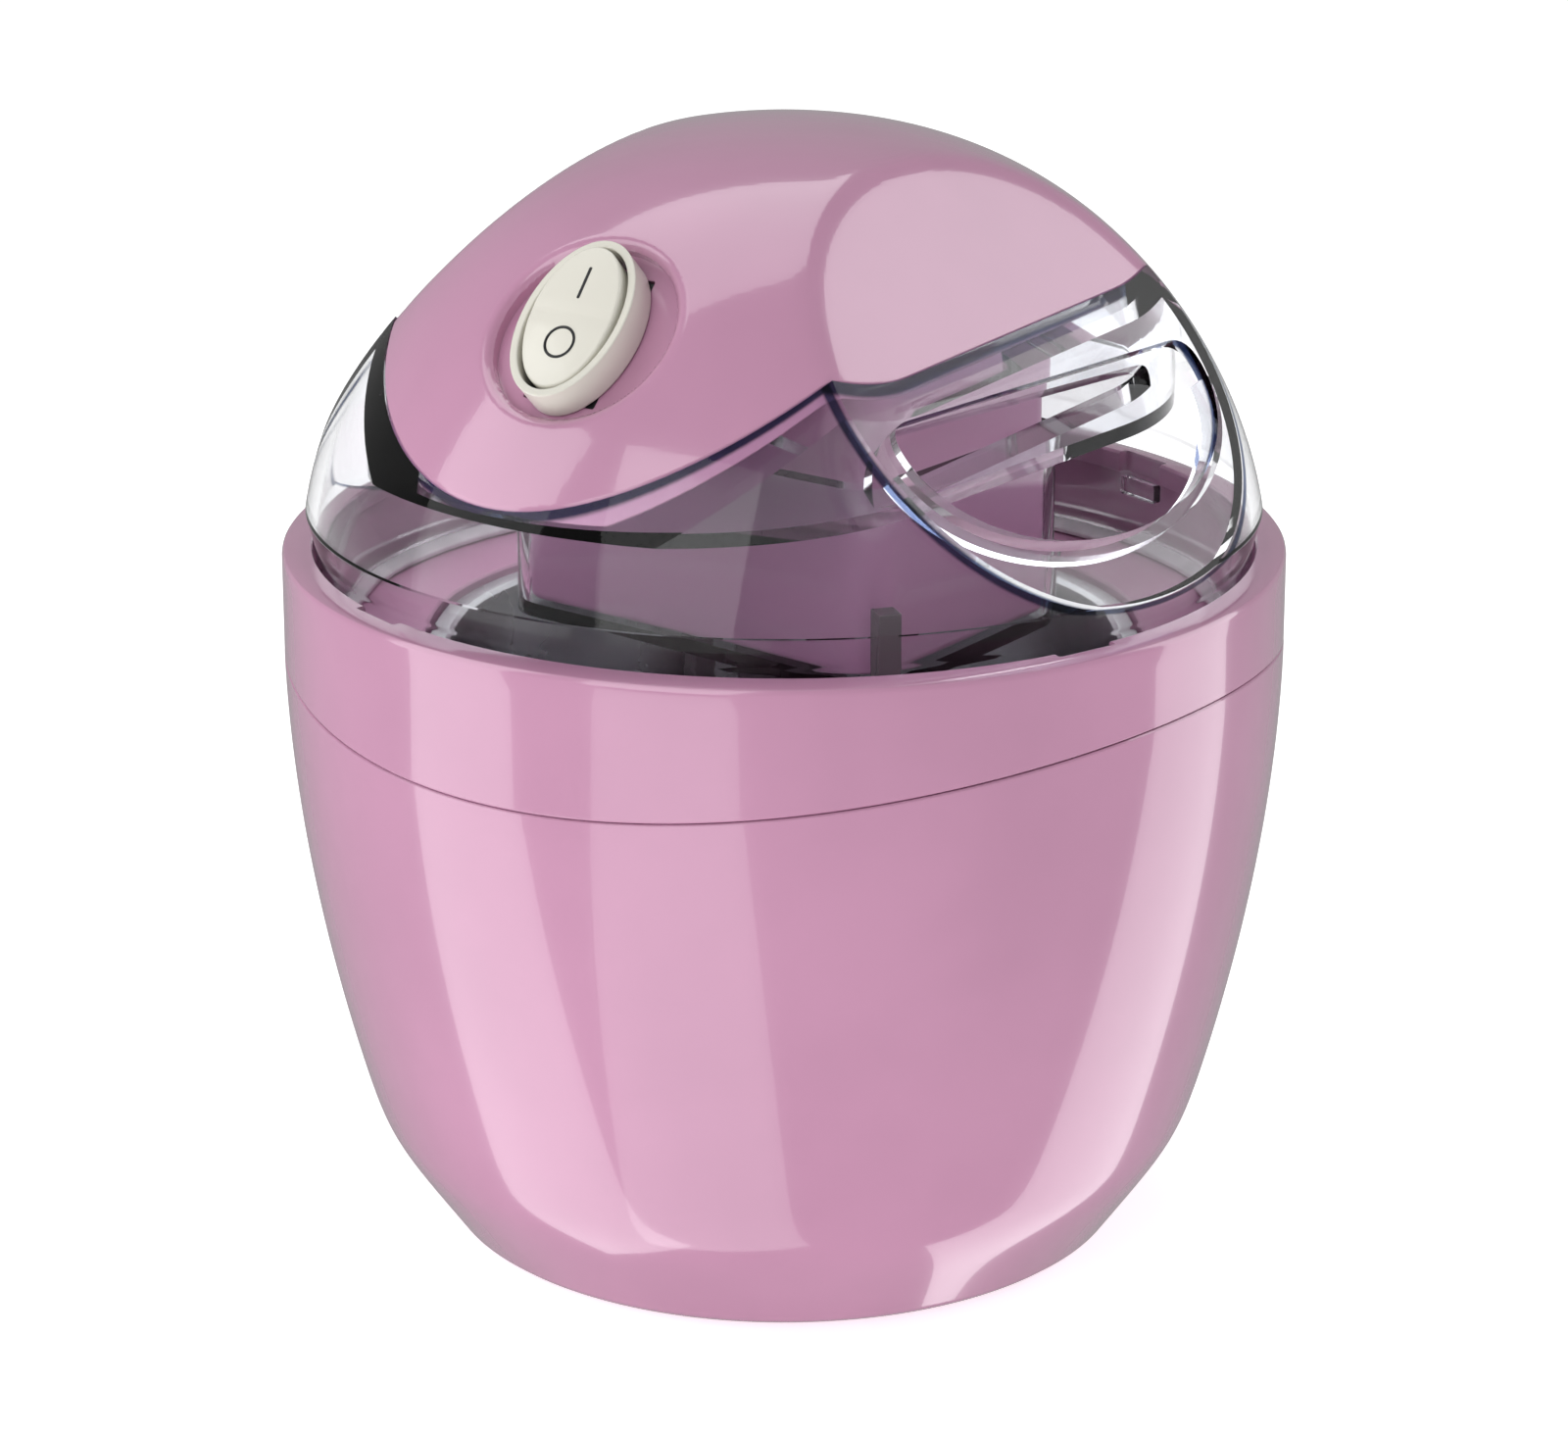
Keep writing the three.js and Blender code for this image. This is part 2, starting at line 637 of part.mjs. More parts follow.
// The rocker's top is two shallow planes that meet over the pivot.
function switchRocker() {
  const side = new THREE.Shape();
  side.moveTo(-13.4, -1.6);
  side.lineTo(-6, -3.2);
  side.lineTo(6, -3.2);
  side.lineTo(13.4, -1.6);
  side.lineTo(13.4, 3.3);
  side.lineTo(0, 2.4);
  side.lineTo(-13.4, 0.9);
  const slab = prism(side, -9, 9, 4).rotateX(Math.PI / 2).rotateZ(Math.PI / 2);
  const pin = new THREE.CylinderGeometry(1.2, 1.2, 18.6, 12).rotateZ(Math.PI / 2)
    .translate(0, 0, ROCKER_PIVOT);
  return atSwitch(slab)
    .intersect(atSwitch(prism(ovalShape(8.2, 13.2), -4, 6, 12)))
    .add(atSwitch(pin));
}

function switchBody() {
  return atSwitch(block(14, 25, -14, -RECESS_DEPTH - 0.4));
}

function switchTerminal(side) {
  return atSwitch(block(6.3, 0.8, -17.8, -14.3).translate(0, side * 6, 0));
}

// ---------------------------------------------------------------- assembly
const machine = new THREE.Group();
const top = new THREE.Group();
top.rotation.z = TOP_TURN * DEG;
machine.add(top);

machine.add(piece('base_housing', baseHousing(), finish(PINK, 0.22)));
machine.add(piece('collar_ring', collarRing(), finish(PINK, 0.22)));
footPlaces().forEach(({ x, y }, i) => {
  const pad = piece(`foot_${i + 1}`, foot(), finish(0x8d8389, 0.85));
  pad.position.set(x, y, 0);
  machine.add(pad);
});

machine.add(piece('bowl_outer', bowlOuter(), finish(0xe9e6e4, 0.35)));
machine.add(piece('bowl_liner', bowlLiner(), finish(0xc4c6ca, 0.3, 1)));
machine.add(piece('coolant_gel', coolantGel(), clearFinish(0x9fc4d8)));
machine.add(piece('bowl_ring', bowlRing(), finish(PINK, 0.3)));
machine.add(piece('filler_plug', fillerPlug(), finish(0xe9e6e4, 0.5)));
machine.add(piece('lid_seal', lidSeal(), finish(0xdcd6d8, 0.7)));

top.add(piece('lid', lid(), clearFinish(0xeef0f6)));
top.add(piece('drive_bush', driveBush(), finish(0xf1efea, 0.5)));
const mixer = piece('paddle', paddle(), finish(SMOKE, 0.35));
mixer.rotation.z = BLADE_TURN;
top.add(mixer);

top.add(piece('motor_shell', motorShell(), finish(PINK, 0.2)));
top.add(piece('motor_housing', motorHousing(), finish(PINK, 0.3)));
screwPlaces().forEach((place, i) => {
  top.add(piece(`housing_screw_${i + 1}`, housingScrew(place), finish(STEEL, 0.3, 1)));
});
top.add(piece('cord_gland', cordGland(), finish(0xd3cfcb, 0.6)));

top.add(piece('switch_bezel', switchBezel(), finish(OFF_WHITE, 0.35)));
top.add(piece('switch_rocker', switchRocker(), finish(OFF_WHITE, 0.3)));
top.add(piece('switch_body', switchBody(), finish(0x1d1c1e, 0.5)));
[-1, 1].forEach((side, i) => {
  top.add(piece(`switch_terminal_${i + 1}`, switchTerminal(side), finish(0xc9a45a, 0.3, 1)));
});

const drive = new THREE.Group();
drive.position.z = POD.bottom;
top.add(drive);
drive.add(piece('gear_plate_lower', gearPlate(LOWER_PLATE, 3.4), finish(STEEL, 0.35, 1)));
drive.add(piece('gear_plate_upper', gearPlate(UPPER_PLATE, 1.6), finish(STEEL, 0.35, 1)));
pillarPlaces().forEach(({ x, y }, i) => {
  const height = [LOWER_PLATE + PLATE_THICK + GAP, UPPER_PLATE - GAP];
  const pillar = piece(`gear_pillar_${i + 1}`, rod(2, ...height, 10), finish(0xc2a15e, 0.3, 1));
  pillar.position.set(x, y, 0);
  drive.add(pillar);
});
const idlerAxle = piece('idler_axle', rod(1, 3.3, 16.7, 10), finish(STEEL, 0.2, 1));
const idler = piece('idler_gear', idlerGear(), finish(0xf1efea, 0.5));
for (const mesh of [idlerAxle, idler]) {
  mesh.position.x = GEAR_CENTRES;
  drive.add(mesh);
}
drive.add(piece('output_gear', outputGear(), finish(0xf1efea, 0.5)));
drive.add(piece('rotor', rotor(), finish(0x6d6f74, 0.4, 1)));
drive.add(piece('stator_coil', statorCoil(), finish(0xb4703c, 0.45, 1)));
drive.add(piece('motor_can', motorCan(), finish(STEEL, 0.35, 1)));

export default machine;
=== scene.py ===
# %% [markdown]
# # A compact ice cream maker
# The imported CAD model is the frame: it says where every piece sits and how it moves. This file
# builds the fine surfaces around it. What shows from outside is modelled again with smooth
# curves, rounded edges and real wall thickness. What is sealed inside keeps its CAD shape and
# gets a proper finish. Everything is in the frame's own axes: +Z up, the front towards -Y.

# %% The frame
import math

import bpy
from mathutils import Matrix, Vector


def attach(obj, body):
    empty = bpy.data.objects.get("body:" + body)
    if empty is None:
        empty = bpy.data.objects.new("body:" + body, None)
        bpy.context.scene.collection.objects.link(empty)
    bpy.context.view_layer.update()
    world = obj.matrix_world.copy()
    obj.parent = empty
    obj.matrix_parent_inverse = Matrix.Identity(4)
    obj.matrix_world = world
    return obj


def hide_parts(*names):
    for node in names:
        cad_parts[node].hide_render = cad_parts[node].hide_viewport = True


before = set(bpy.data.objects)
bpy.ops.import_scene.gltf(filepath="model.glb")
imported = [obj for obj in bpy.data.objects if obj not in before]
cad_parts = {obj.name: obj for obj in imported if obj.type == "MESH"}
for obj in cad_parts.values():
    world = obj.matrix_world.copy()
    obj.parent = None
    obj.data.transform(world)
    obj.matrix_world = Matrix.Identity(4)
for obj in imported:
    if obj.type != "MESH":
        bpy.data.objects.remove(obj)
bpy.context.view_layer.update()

# %% [markdown]
# ## Driving dimensions
# Sizes are written in millimetres, as on a drawing, and turned into metres at the moment a
# vertex is placed. The machine has two frames: the housing's, and that of the top (lid, motor
# unit, paddle), which is the same but turned about the upright axis, so that the pink motor
# band runs askew across the clear lid. Top pieces are modelled straight, then turned.

# %% Driving dimensions
MM = 0.001
DEG = math.pi / 180
SIDES = 256

LIP_HEIGHT = 128
LIP_INNER_RADIUS = 84.5
HOUSING_WALL = 2.2
HOUSING_BOTTOM = 1.2
HOUSING_FLOOR_TOP = 4.6
SEAM_HEIGHT = 108.1
SEAM_GAP = 0.2
SEAM_SWING = 5.3
SEAM_TURN = -33
SHELF_TOP = 108

DOME_RADIUS = 86.3
DOME_HEIGHT = 74.93
DOME_RISE_POWER = 1.675
DOME_ROUND_POWER = 2.304
TOP_TURN = -38
BAND_HALF_WIDTH = 50
BAND_CENTRE = 30.5
BAND_GAP = 0.3
WALL = 2.4
SKIRT_RADIUS = 84
SKIRT_BOTTOM = 113.4
RIGHT_FACET = {"turn": 87, "tilt": 41.6, "reach": 67.6}
LEFT_FACET = {"turn": -85, "tilt": 38, "reach": 66}

PADDLE = {"hub_bottom": 97, "hub_top": 110.4, "arm_bottom": 103, "arm_top": 109}

DECK_TOP = 150
DECK_THICK = 2
POD = {"half_x": 40, "half_y": 27, "corner": 6, "bottom": 115.7, "wall": 2.2}
WELL = {"half_x": 40.6, "half_y": 27.6, "wall": 2, "floor": 115.2, "thick": 2}
OPENING = {"half_width": 41, "depth": 30.5, "shift": 1.5, "top": 166, "rim": 2.2, "deep": 6}

SWITCH = {"turn": 4, "tilt": 45, "radius": 61.8, "height": 179.7}
RECESS_RADIUS = 17
RECESS_DEPTH = 5
ROCKER_PIVOT = -1.2
GLAND = {"lean": 54.8, "back": 71.4, "height": 168.3}

BOWL_BOTTOM = 10
BOWL_TOP = 106
LINER_FLOOR = 30
LINER_RIM = 109.1
FOOT_CIRCLE = 50
PADDLE_TURN = 56
TAB_TURN = -16
ABOVE_ALL = LIP_HEIGHT + DOME_HEIGHT + 10

# %% [markdown]
# ## The workbench
# Every piece starts as one vertex that is extruded along a profile, as when a profile is drawn
# by hand with the E key. A profile is then either spun about the upright axis, which makes a
# turned piece, or filled and extruded, which makes a prism. A boolean modifier joins and cuts.
# The alternative, sculpting each wall, would never give walls of even thickness.


# %% Selecting and drawing a profile
def only(piece):
    """Selects one object and nothing else, and makes it the active one."""
    bpy.ops.object.select_all(action="DESELECT")
    piece.select_set(True)
    bpy.context.view_layer.objects.active = piece


def draw_profile(name, points):
    """Extrudes a vertex through points given in millimetres, and stays in edit mode."""
    bpy.ops.object.select_all(action="DESELECT")
    bpy.ops.mesh.primitive_circle_add(vertices=3, radius=MM)
    piece = bpy.context.object
    piece.name = name
    bpy.ops.object.mode_set(mode="EDIT")
    bpy.ops.mesh.select_all(action="SELECT")
    bpy.ops.mesh.merge(type="CENTER")
    here = Vector((0, 0, 0))
    for i, point in enumerate(points):
        step = (Vector(point) - here) * MM
        if i == 0:
            bpy.ops.transform.translate(value=step)
        else:
            bpy.ops.mesh.extrude_region_move(TRANSFORM_OT_translate={"value": step})
        here = Vector(point)
    return piece


def draw_loop(name, points):
    """A closed ring of vertices through points given in millimetres, left in edit mode."""
    bpy.ops.object.select_all(action="DESELECT")
    bpy.ops.mesh.primitive_circle_add(vertices=len(points), radius=MM)
    piece = bpy.context.object
    piece.name = name
    for vertex, point in zip(piece.data.vertices, points):
        vertex.co = Vector(point) * MM
    bpy.ops.object.mode_set(mode="EDIT")
    return piece


def close_up(angle=30):
    """Merges doubles, turns every face outwards and smooths all but the sharp edges."""
    bpy.ops.mesh.select_all(action="SELECT")
    bpy.ops.mesh.remove_doubles(threshold=1e-6)
    bpy.ops.mesh.select_all(action="SELECT")
    bpy.ops.mesh.normals_make_consistent(inside=False)
    bpy.ops.object.mode_set(mode="OBJECT")
    bpy.ops.object.shade_smooth_by_angle(angle=angle * DEG)


# %% Turned pieces and prisms
def turned(name, profile, sides=SIDES, ring=False):
    """A turned piece, from (radius, height) points. A ring's profile closes on itself."""
    points = [(radius, 0, height) for radius, height in profile]
    if ring:
        points.append(points[0])
    piece = draw_profile(name, points)
    bpy.ops.mesh.select_all(action="SELECT")
    bpy.ops.mesh.remove_doubles(threshold=1e-6)
    bpy.ops.mesh.select_all(action="SELECT")
    bpy.ops.mesh.spin(steps=sides, angle=2 * math.pi, center=(0, 0, 0), axis=(0, 0, 1))
    close_up()
    return piece


def prism(name, outline, bottom, top):
    """A prism, from the (x, y) points of its outline."""
    piece = draw_loop(name, [(x, y, bottom) for x, y in outline])
    bpy.ops.mesh.select_all(action="SELECT")
    bpy.ops.mesh.edge_face_add()
    rise = (0, 0, (top - bottom) * MM)
    bpy.ops.mesh.extrude_region_move(TRANSFORM_OT_translate={"value": rise})
    close_up()
    return piece


def rod(name, radius, bottom, top, sides=64):
    return prism(name, oval(radius, radius, sides), bottom, top)


# %% Outlines
def arc(centre_x, centre_y, radius_x, radius_y, start, end, steps):
    """Points along an arc, its ends included, in degrees."""
    points = []
    for i in range(steps + 1):
        angle = (start + (end - start) * i / steps) * DEG
        points.append((centre_x + radius_x * math.cos(angle), centre_y + radius_y * math.sin(angle)))
    return points


def oval(half_x, half_y, steps=96):
    return arc(0, 0, half_x, half_y, 0, 360, steps)[:-1]


def slot_outline(half_width, steps=72):
    """The motor band's outline in plan: a slot with round ends."""
    front = arc(0, -BAND_CENTRE, half_width, half_width, 180, 360, steps)
    back = arc(0, BAND_CENTRE, half_width, half_width, 0, 180, steps)
    return front + back


def rounded_rectangle(half_x, half_y, corner, steps=8):
    x, y = half_x - corner, half_y - corner
    return (
        arc(x, y, corner, corner, 0, 90, steps)
        + arc(-x, y, corner, corner, 90, 180, steps)
        + arc(-x, -y, corner, corner, 180, 270, steps)
        + arc(x, -y, corner, corner, 270, 360, steps)
    )


def box(name, size_x, size_y, bottom, top, corner=0.4):
    return prism(name, rounded_rectangle(size_x / 2, size_y / 2, corner, 3), bottom, top)


# %% Joining, cutting and rounding
def apply_step(piece, step):
    only(piece)
    bpy.ops.object.modifier_apply(modifier=step.name)


def combine(piece, tool, operation):
    """Joins tool to piece, cuts it out of it, or keeps only what they share. Uses tool up."""
    step = piece.modifiers.new("combine", "BOOLEAN")
    step.operation = operation
    step.solver = "MANIFOLD"
    step.object = tool
    apply_step(piece, step)
    bpy.data.objects.remove(tool)
    return piece


def cut(piece, tool):
    return combine(piece, tool, "DIFFERENCE")


def join(piece, tool):
    return combine(piece, tool, "UNION")


def keep_inside(piece, tool):
    return combine(piece, tool, "INTERSECT")


def copy_of(piece, name):
    """A copy with a mesh of its own."""
    twin = piece.copy()
    twin.data = piece.data.copy()
    twin.name = name
    bpy.context.scene.collection.objects.link(twin)
    return twin


def round_edges(piece, radius, segments=3, angle=40):
    """Rounds every edge that is sharper than the angle."""
    step = piece.modifiers.new("round", "BEVEL")
    step.width = radius * MM
    step.segments = segments
    step.limit_method = "ANGLE"
    step.angle_limit = angle * DEG
    step.use_clamp_overlap = True
    apply_step(piece, step)
    return piece


def smooth(piece, angle=30):
    only(piece)
    bpy.ops.object.shade_smooth_by_angle(angle=angle * DEG)
    return piece


def put(piece, matrix):
    """Places a piece by a matrix in metres, and applies it, so that the object stays at the origin."""
    piece.matrix_world = matrix
    only(piece)
    bpy.ops.object.transform_apply(location=True, rotation=True, scale=True)
    return piece


def face_top(piece):
    """Turns a piece of the top from the straight frame it was modelled in."""
    return put(piece, Matrix.Rotation(TOP_TURN * DEG, 4, "Z"))


def fit(piece, body, slot_name, finish, *nodes):
    """Hands the piece to its CAD body, in place of its CAD nodes."""
    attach(piece, body)
    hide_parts(*nodes)
    if finish:
        piece.data.materials.clear()
        piece.data.materials.append(finish)
    print(piece.name, len(piece.data.polygons), "faces, rides on", body)
    return piece


# %% [markdown]
# ## Shader maths
# A material is a small circuit of nodes. Written out node by node it is hard to read, so one
# small class wraps a socket and lets Python's own arithmetic add the Math nodes, and one
# method makes any other node.


# %% The shader's arithmetic
class Wire:
    """A node's output that arithmetic can be written on."""

    def __init__(self, recipe, socket):
        self.recipe = recipe
        self.socket = socket

    def maths(self, operation, *values, clamp=False):
        settings = {"operation": operation, "use_clamp": clamp}
        inputs = dict(enumerate(values))
        return self.recipe.node("ShaderNodeMath", settings, inputs)

    def __add__(self, other):
        return self.maths("ADD", self, other)

    def __sub__(self, other):
        return self.maths("SUBTRACT", self, other)

    def __rsub__(self, other):
        return self.maths("SUBTRACT", other, self)

    def __mul__(self, other):
        return self.maths("MULTIPLY", self, other)

    def __truediv__(self, other):
        return self.maths("DIVIDE", self, other)

    def __pow__(self, power):
        return self.maths("POWER", self, power)

    def __abs__(self):
        return self.maths("ABSOLUTE", self)

    __radd__ = __add__
    __rmul__ = __mul__

    def at_least(self, other):
        return self.maths("MAXIMUM", self, other)

    def ramp(self, low, high):
        """0 below low, 1 above high, a soft step between."""
        settings = {"interpolation_type": "SMOOTHSTEP"}
        inputs = {"Value": self, "From Min": low, "From Max": high}
        return self.recipe.node("ShaderNodeMapRange", settings, inputs)


class Recipe:
    """A material and its nodes."""

    def __init__(self, name):
        self.material = bpy.data.materials.new(name)
        self.material.use_nodes = True
        self.tree = self.material.node_tree
        self.tree.nodes.clear()
        self.place = self.node("ShaderNodeTexCoord", output="Object")

    def node(self, kind, settings=None, inputs=None, output=0):
        """Adds a node, its settings first, then its inputs: values, or wires from other nodes."""
        node = self.tree.nodes.new(kind)
        for key, value in (settings or {}).items():
            if key == "stops":
                for stop, (position, colour) in zip(node.color_ramp.elements, value):
                    stop.position = position
                    stop.color = colour
            else:
                setattr(node, key, value)
        for key, value in (inputs or {}).items():
            if isinstance(value, Wire):
                self.tree.links.new(value.socket, node.inputs[key])
            else:
                node.inputs[key].default_value = value
        return Wire(self, node.outputs[output])

    def axes(self):
        """The object coordinates in millimetres, as three wires."""
        split = self.node("ShaderNodeSeparateXYZ", inputs={0: self.place})
        outputs = split.socket.node.outputs
        return [Wire(self, outputs[i]) * 1000 for i in range(3)]

    def noise(self, scale, detail=2, roughness=0.5):
        inputs = {"Vector": self.place, "Scale": scale, "Detail": detail, "Roughness": roughness}
        return self.node("ShaderNodeTexNoise", inputs=inputs)

    def mixed(self, factor, first, second):
        """A blend of two colours."""
        settings = {"data_type": "RGBA"}
        return self.node("ShaderNodeMix", settings, {0: factor, 6: first, 7: second}, output=2)

    def bump(self, height, distance_mm, strength=1.0, normal=None):
        inputs = {"Height": height, "Distance": distance_mm * MM, "Strength": strength}
        if normal:
            inputs["Normal"] = normal
        return self.node("ShaderNodeBump", inputs=inputs)

    def surface(self, **inputs):
        """The main shader. Underscores in the names stand for spaces."""
        named = {key.replace("_", " "): value for key, value in inputs.items()}
        return self.node("ShaderNodeBsdfPrincipled", inputs=named)

    def done(self, shader):
        self.node_out = self.tree.nodes.new("ShaderNodeOutputMaterial")
        self.tree.links.new(shader.socket, self.node_out.inputs["Surface"])
        return self.material


# %% [markdown]
# ## Finishes
# The pink is a through-coloured gloss moulding. Its colour hardly varies, so its interest is in
# the gloss: a faint orange-peel bump, a roughness that drifts a little, and a Bevel node that
# softens each moulded edge where light catches it.


# %% Moulded plastics
def moulded(name, colour, roughness, drift=0.03, peel=0.02, grain=0, coat=0.0, edge_mm=0.35, **more):
    """A moulded plastic: colour and gloss that drift a little, orange peel, and softened edges."""
    recipe = Recipe(name)
    clouds = recipe.noise(18, detail=3)
    darker = [c * 0.94 for c in colour] + [1]
    lighter = [min(1, c * 1.04) for c in colour] + [1]
    base = recipe.mixed(clouds.ramp(0.3, 0.7), darker, lighter)
    if grain:
        speck = recipe.noise(2600, detail=2)
        base = recipe.mixed((speck - 0.5) * grain + 0.5, darker, lighter)
    gloss = (recipe.noise(45) - 0.5) * drift + roughness
    edge = recipe.node("ShaderNodeBevel", {"samples": 4}, {"Radius": edge_mm * MM})
    relief = recipe.bump(recipe.noise(420, detail=2), peel, 0.35, edge)
    shader = recipe.surface(
        Base_Color=base, Roughness=gloss, Normal=relief, Coat_Weight=coat, Coat_Roughness=0.03, **more
    )
    return recipe.done(shader)


PINK = (0.53, 0.262, 0.4)
pink_gloss = moulded("pink_gloss", PINK, 0.14, drift=0.02, peel=0.01, coat=0.8)
# Painted shade: the motor pod is moulded in the housing's pink, and this darker copy stands in for the
# shadow it sits in under the lid. Its satin gloss is its own.
pink_inner_shaded = moulded("pink_satin_shaded", (0.43, 0.2, 0.33), 0.38, grain=0.5, peel=0.05)
pink_ring = moulded("pink_ring", (0.5, 0.235, 0.375), 0.34, grain=0.8, peel=0.05)
off_white = moulded("off_white_gloss", (0.76, 0.74, 0.66), 0.24, peel=0.01, coat=0.3, edge_mm=0.5)
white_shell = moulded("white_polypropylene", (0.8, 0.79, 0.77), 0.38, peel=0.04)
nylon = moulded("natural_nylon", (0.83, 0.81, 0.74), 0.42, peel=0.03, edge_mm=0.15)
black_nylon = moulded("black_nylon", (0.018, 0.018, 0.02), 0.45, peel=0.05, edge_mm=0.2)
smoke = moulded("smoke_plastic", (0.09, 0.07, 0.08), 0.22, peel=0.02)
print("moulded plastics ready")


# %% [markdown]
# ## Soft and metal finishes
# Rubber is matt with a fine tooth. Metals keep their colour in the reflection, so what tells
# them apart is the way they were worked: spun aluminium has rings, plate has a fine grain.


# %% Rubber, gel and metals
def rubbery(name, colour, roughness=0.7, tooth=0.06):
    recipe = Recipe(name)
    dust = recipe.noise(160, detail=4).ramp(0.35, 0.75)
    base = recipe.mixed(dust, list(colour) + [1], [min(1, c * 1.25 + 0.01) for c in colour] + [1])
    relief = recipe.bump(recipe.noise(2200, detail=2), tooth, 0.5)
    return recipe.done(recipe.surface(Base_Color=base, Roughness=roughness, Normal=relief))


def spun_metal(name, colour, roughness, pitch_mm=0.35):
    """Metal turned on a lathe, with fine rings about the upright axis."""
    recipe = Recipe(name)
    x, y, z = recipe.axes()
    radius = (x * x + y * y) ** 0.5
    rings = ((radius + z) * (2 * math.pi / pitch_mm)).maths("SINE", (radius + z) * (6.283 / pitch_mm))
    tarnish = recipe.noise(30, detail=4)
    base = recipe.mixed(tarnish.ramp(0.3, 0.7), [c * 0.9 for c in colour] + [1], list(colour) + [1])
    relief = recipe.bump(rings, 0.02, 0.35)
    shader = recipe.surface(
        Base_Color=base, Metallic=1.0, Roughness=(tarnish - 0.5) * 0.1 + roughness, Normal=relief
    )
    return recipe.done(shader)


def plain_metal(name, colour, roughness, scale=(40, 400, 40)):
    """Rolled, cut or drawn metal: a fine one-way grain and a few duller patches."""
    recipe = Recipe(name)
    grain_place = recipe.node("ShaderNodeMapping", inputs={"Vector": recipe.place, "Scale": scale})
    inputs = {"Vector": grain_place, "Scale": 12.0, "Detail": 3.0}
    grain = recipe.node("ShaderNodeTexNoise", inputs=inputs)
    base = recipe.mixed(grain, [c * 0.82 for c in colour] + [1], list(colour) + [1])
    shader = recipe.surface(
        Base_Color=base,
        Metallic=1.0,
        Roughness=(grain - 0.5) * 0.15 + roughness,
        Normal=recipe.bump(grain, 0.02, 0.3),
    )
    return recipe.done(shader)


foot_rubber = rubbery("foot_rubber", (0.05, 0.045, 0.05), 0.8)
gland_rubber = rubbery("gland_rubber", (0.5, 0.47, 0.45), 0.55)
seal_silicone = rubbery("seal_silicone", (0.6, 0.55, 0.58), 0.45, 0.03)
gel_blue = rubbery("coolant_gel", (0.25, 0.48, 0.6), 0.3, 0.01)
aluminium = spun_metal("spun_aluminium", (0.8, 0.81, 0.83), 0.27)
steel = plain_metal("plated_steel", (0.62, 0.63, 0.65), 0.28)
brass = plain_metal("brass", (0.72, 0.52, 0.22), 0.25)
ferrite = plain_metal("ferrite", (0.13, 0.13, 0.14), 0.5)
print("rubber and metals ready")


# %% Enamelled winding
def winding():
    """Copper wire wound round the upright axis, shown as close turns."""
    recipe = Recipe("copper_winding")
    x, y, z = recipe.axes()
    turns = abs((z * 4.0).maths("SINE", z * 9.0))
    base = recipe.mixed(turns, [0.22, 0.07, 0.025, 1], [0.62, 0.25, 0.1, 1])
    shader = recipe.surface(
        Base_Color=base, Metallic=0.8, Roughness=0.35, Normal=recipe.bump(turns, 0.2, 0.6)
    )
    return recipe.done(shader)


copper = winding()

# %% [markdown]
# ## The seam that waves
# Housing and collar are two mouldings that meet at a hair-thin seam. The seam rises and falls
# twice round the machine, so it reads as one sweeping line from the front. Both pieces are
# turned first, with a level seam, and their upper or lower rows are then shifted up and down
# by the same wave, which keeps the gap even all the way round.


# %% The wave and the housing's radius
def seam_wave(x, y):
    azimuth = math.atan2(x, -y)
    return SEAM_SWING * math.cos(2 * (azimuth - SEAM_TURN * DEG))


def housing_radius(height):
    """A full curve above and a cone below, run together over a soft bend."""
    upper = 90.1 - 14 * (max(0, 111 - height) / 87) ** 1.83
    cone = 72.3 - 0.708 * (16 - height)
    return -math.log(math.exp(-upper) + math.exp(-cone))


# %% The housing
def base_housing():
    top = SEAM_HEIGHT - SEAM_GAP / 2
    rows = [2.2 + 0.75 * i for i in range(30)] + [25.5 + 2.75 * i for i in range(30)]
    outer = [(housing_radius(z), z) for z in rows]
    inner_rows = [z for z in rows[::2] if z > HOUSING_FLOOR_TOP + 0.5]
    inner = [(housing_radius(z) - HOUSING_WALL, z) for z in reversed(inner_rows)]
    profile = [(0, HOUSING_BOTTOM), (60.2, HOUSING_BOTTOM), (61.4, 1.35), *outer]
    profile += [(90.05, top - 0.25), (89.8, top), (88.1, top), (90.05 - HOUSING_WALL, top - 0.25)]
    profile += [*inner, (housing_radius(HOUSING_FLOOR_TOP) - HOUSING_WALL, HOUSING_FLOOR_TOP)]
    profile.append((0, HOUSING_FLOOR_TOP))
    piece = turned("base_housing_shell", profile, 320)
    start = 72
    for vertex in piece.data.vertices:
        x, y, z = vertex.co / MM
        if z <= start:
            continue
        risen = z - seam_wave(x, y) * (z - start) / (top - start)
        grown = (housing_radius(risen) - housing_radius(z)) / math.hypot(x, y)
        vertex.co = Vector((x * (1 + grown), y * (1 + grown), risen)) * MM
    for x, y in foot_places():
        pocket = put(rod("pocket", 7.3, 0, 3), Matrix.Translation((x * MM, y * MM, 0)))
        cut(piece, pocket)
    return smooth(piece)


def foot_places():
    azimuths = [45 + 90 * i for i in range(4)]
    return [(FOOT_CIRCLE * math.sin(a * DEG), -FOOT_CIRCLE * math.cos(a * DEG)) for a in azimuths]


housing = fit(base_housing(), "base", "housing_pink", pink_gloss, "base_housing")


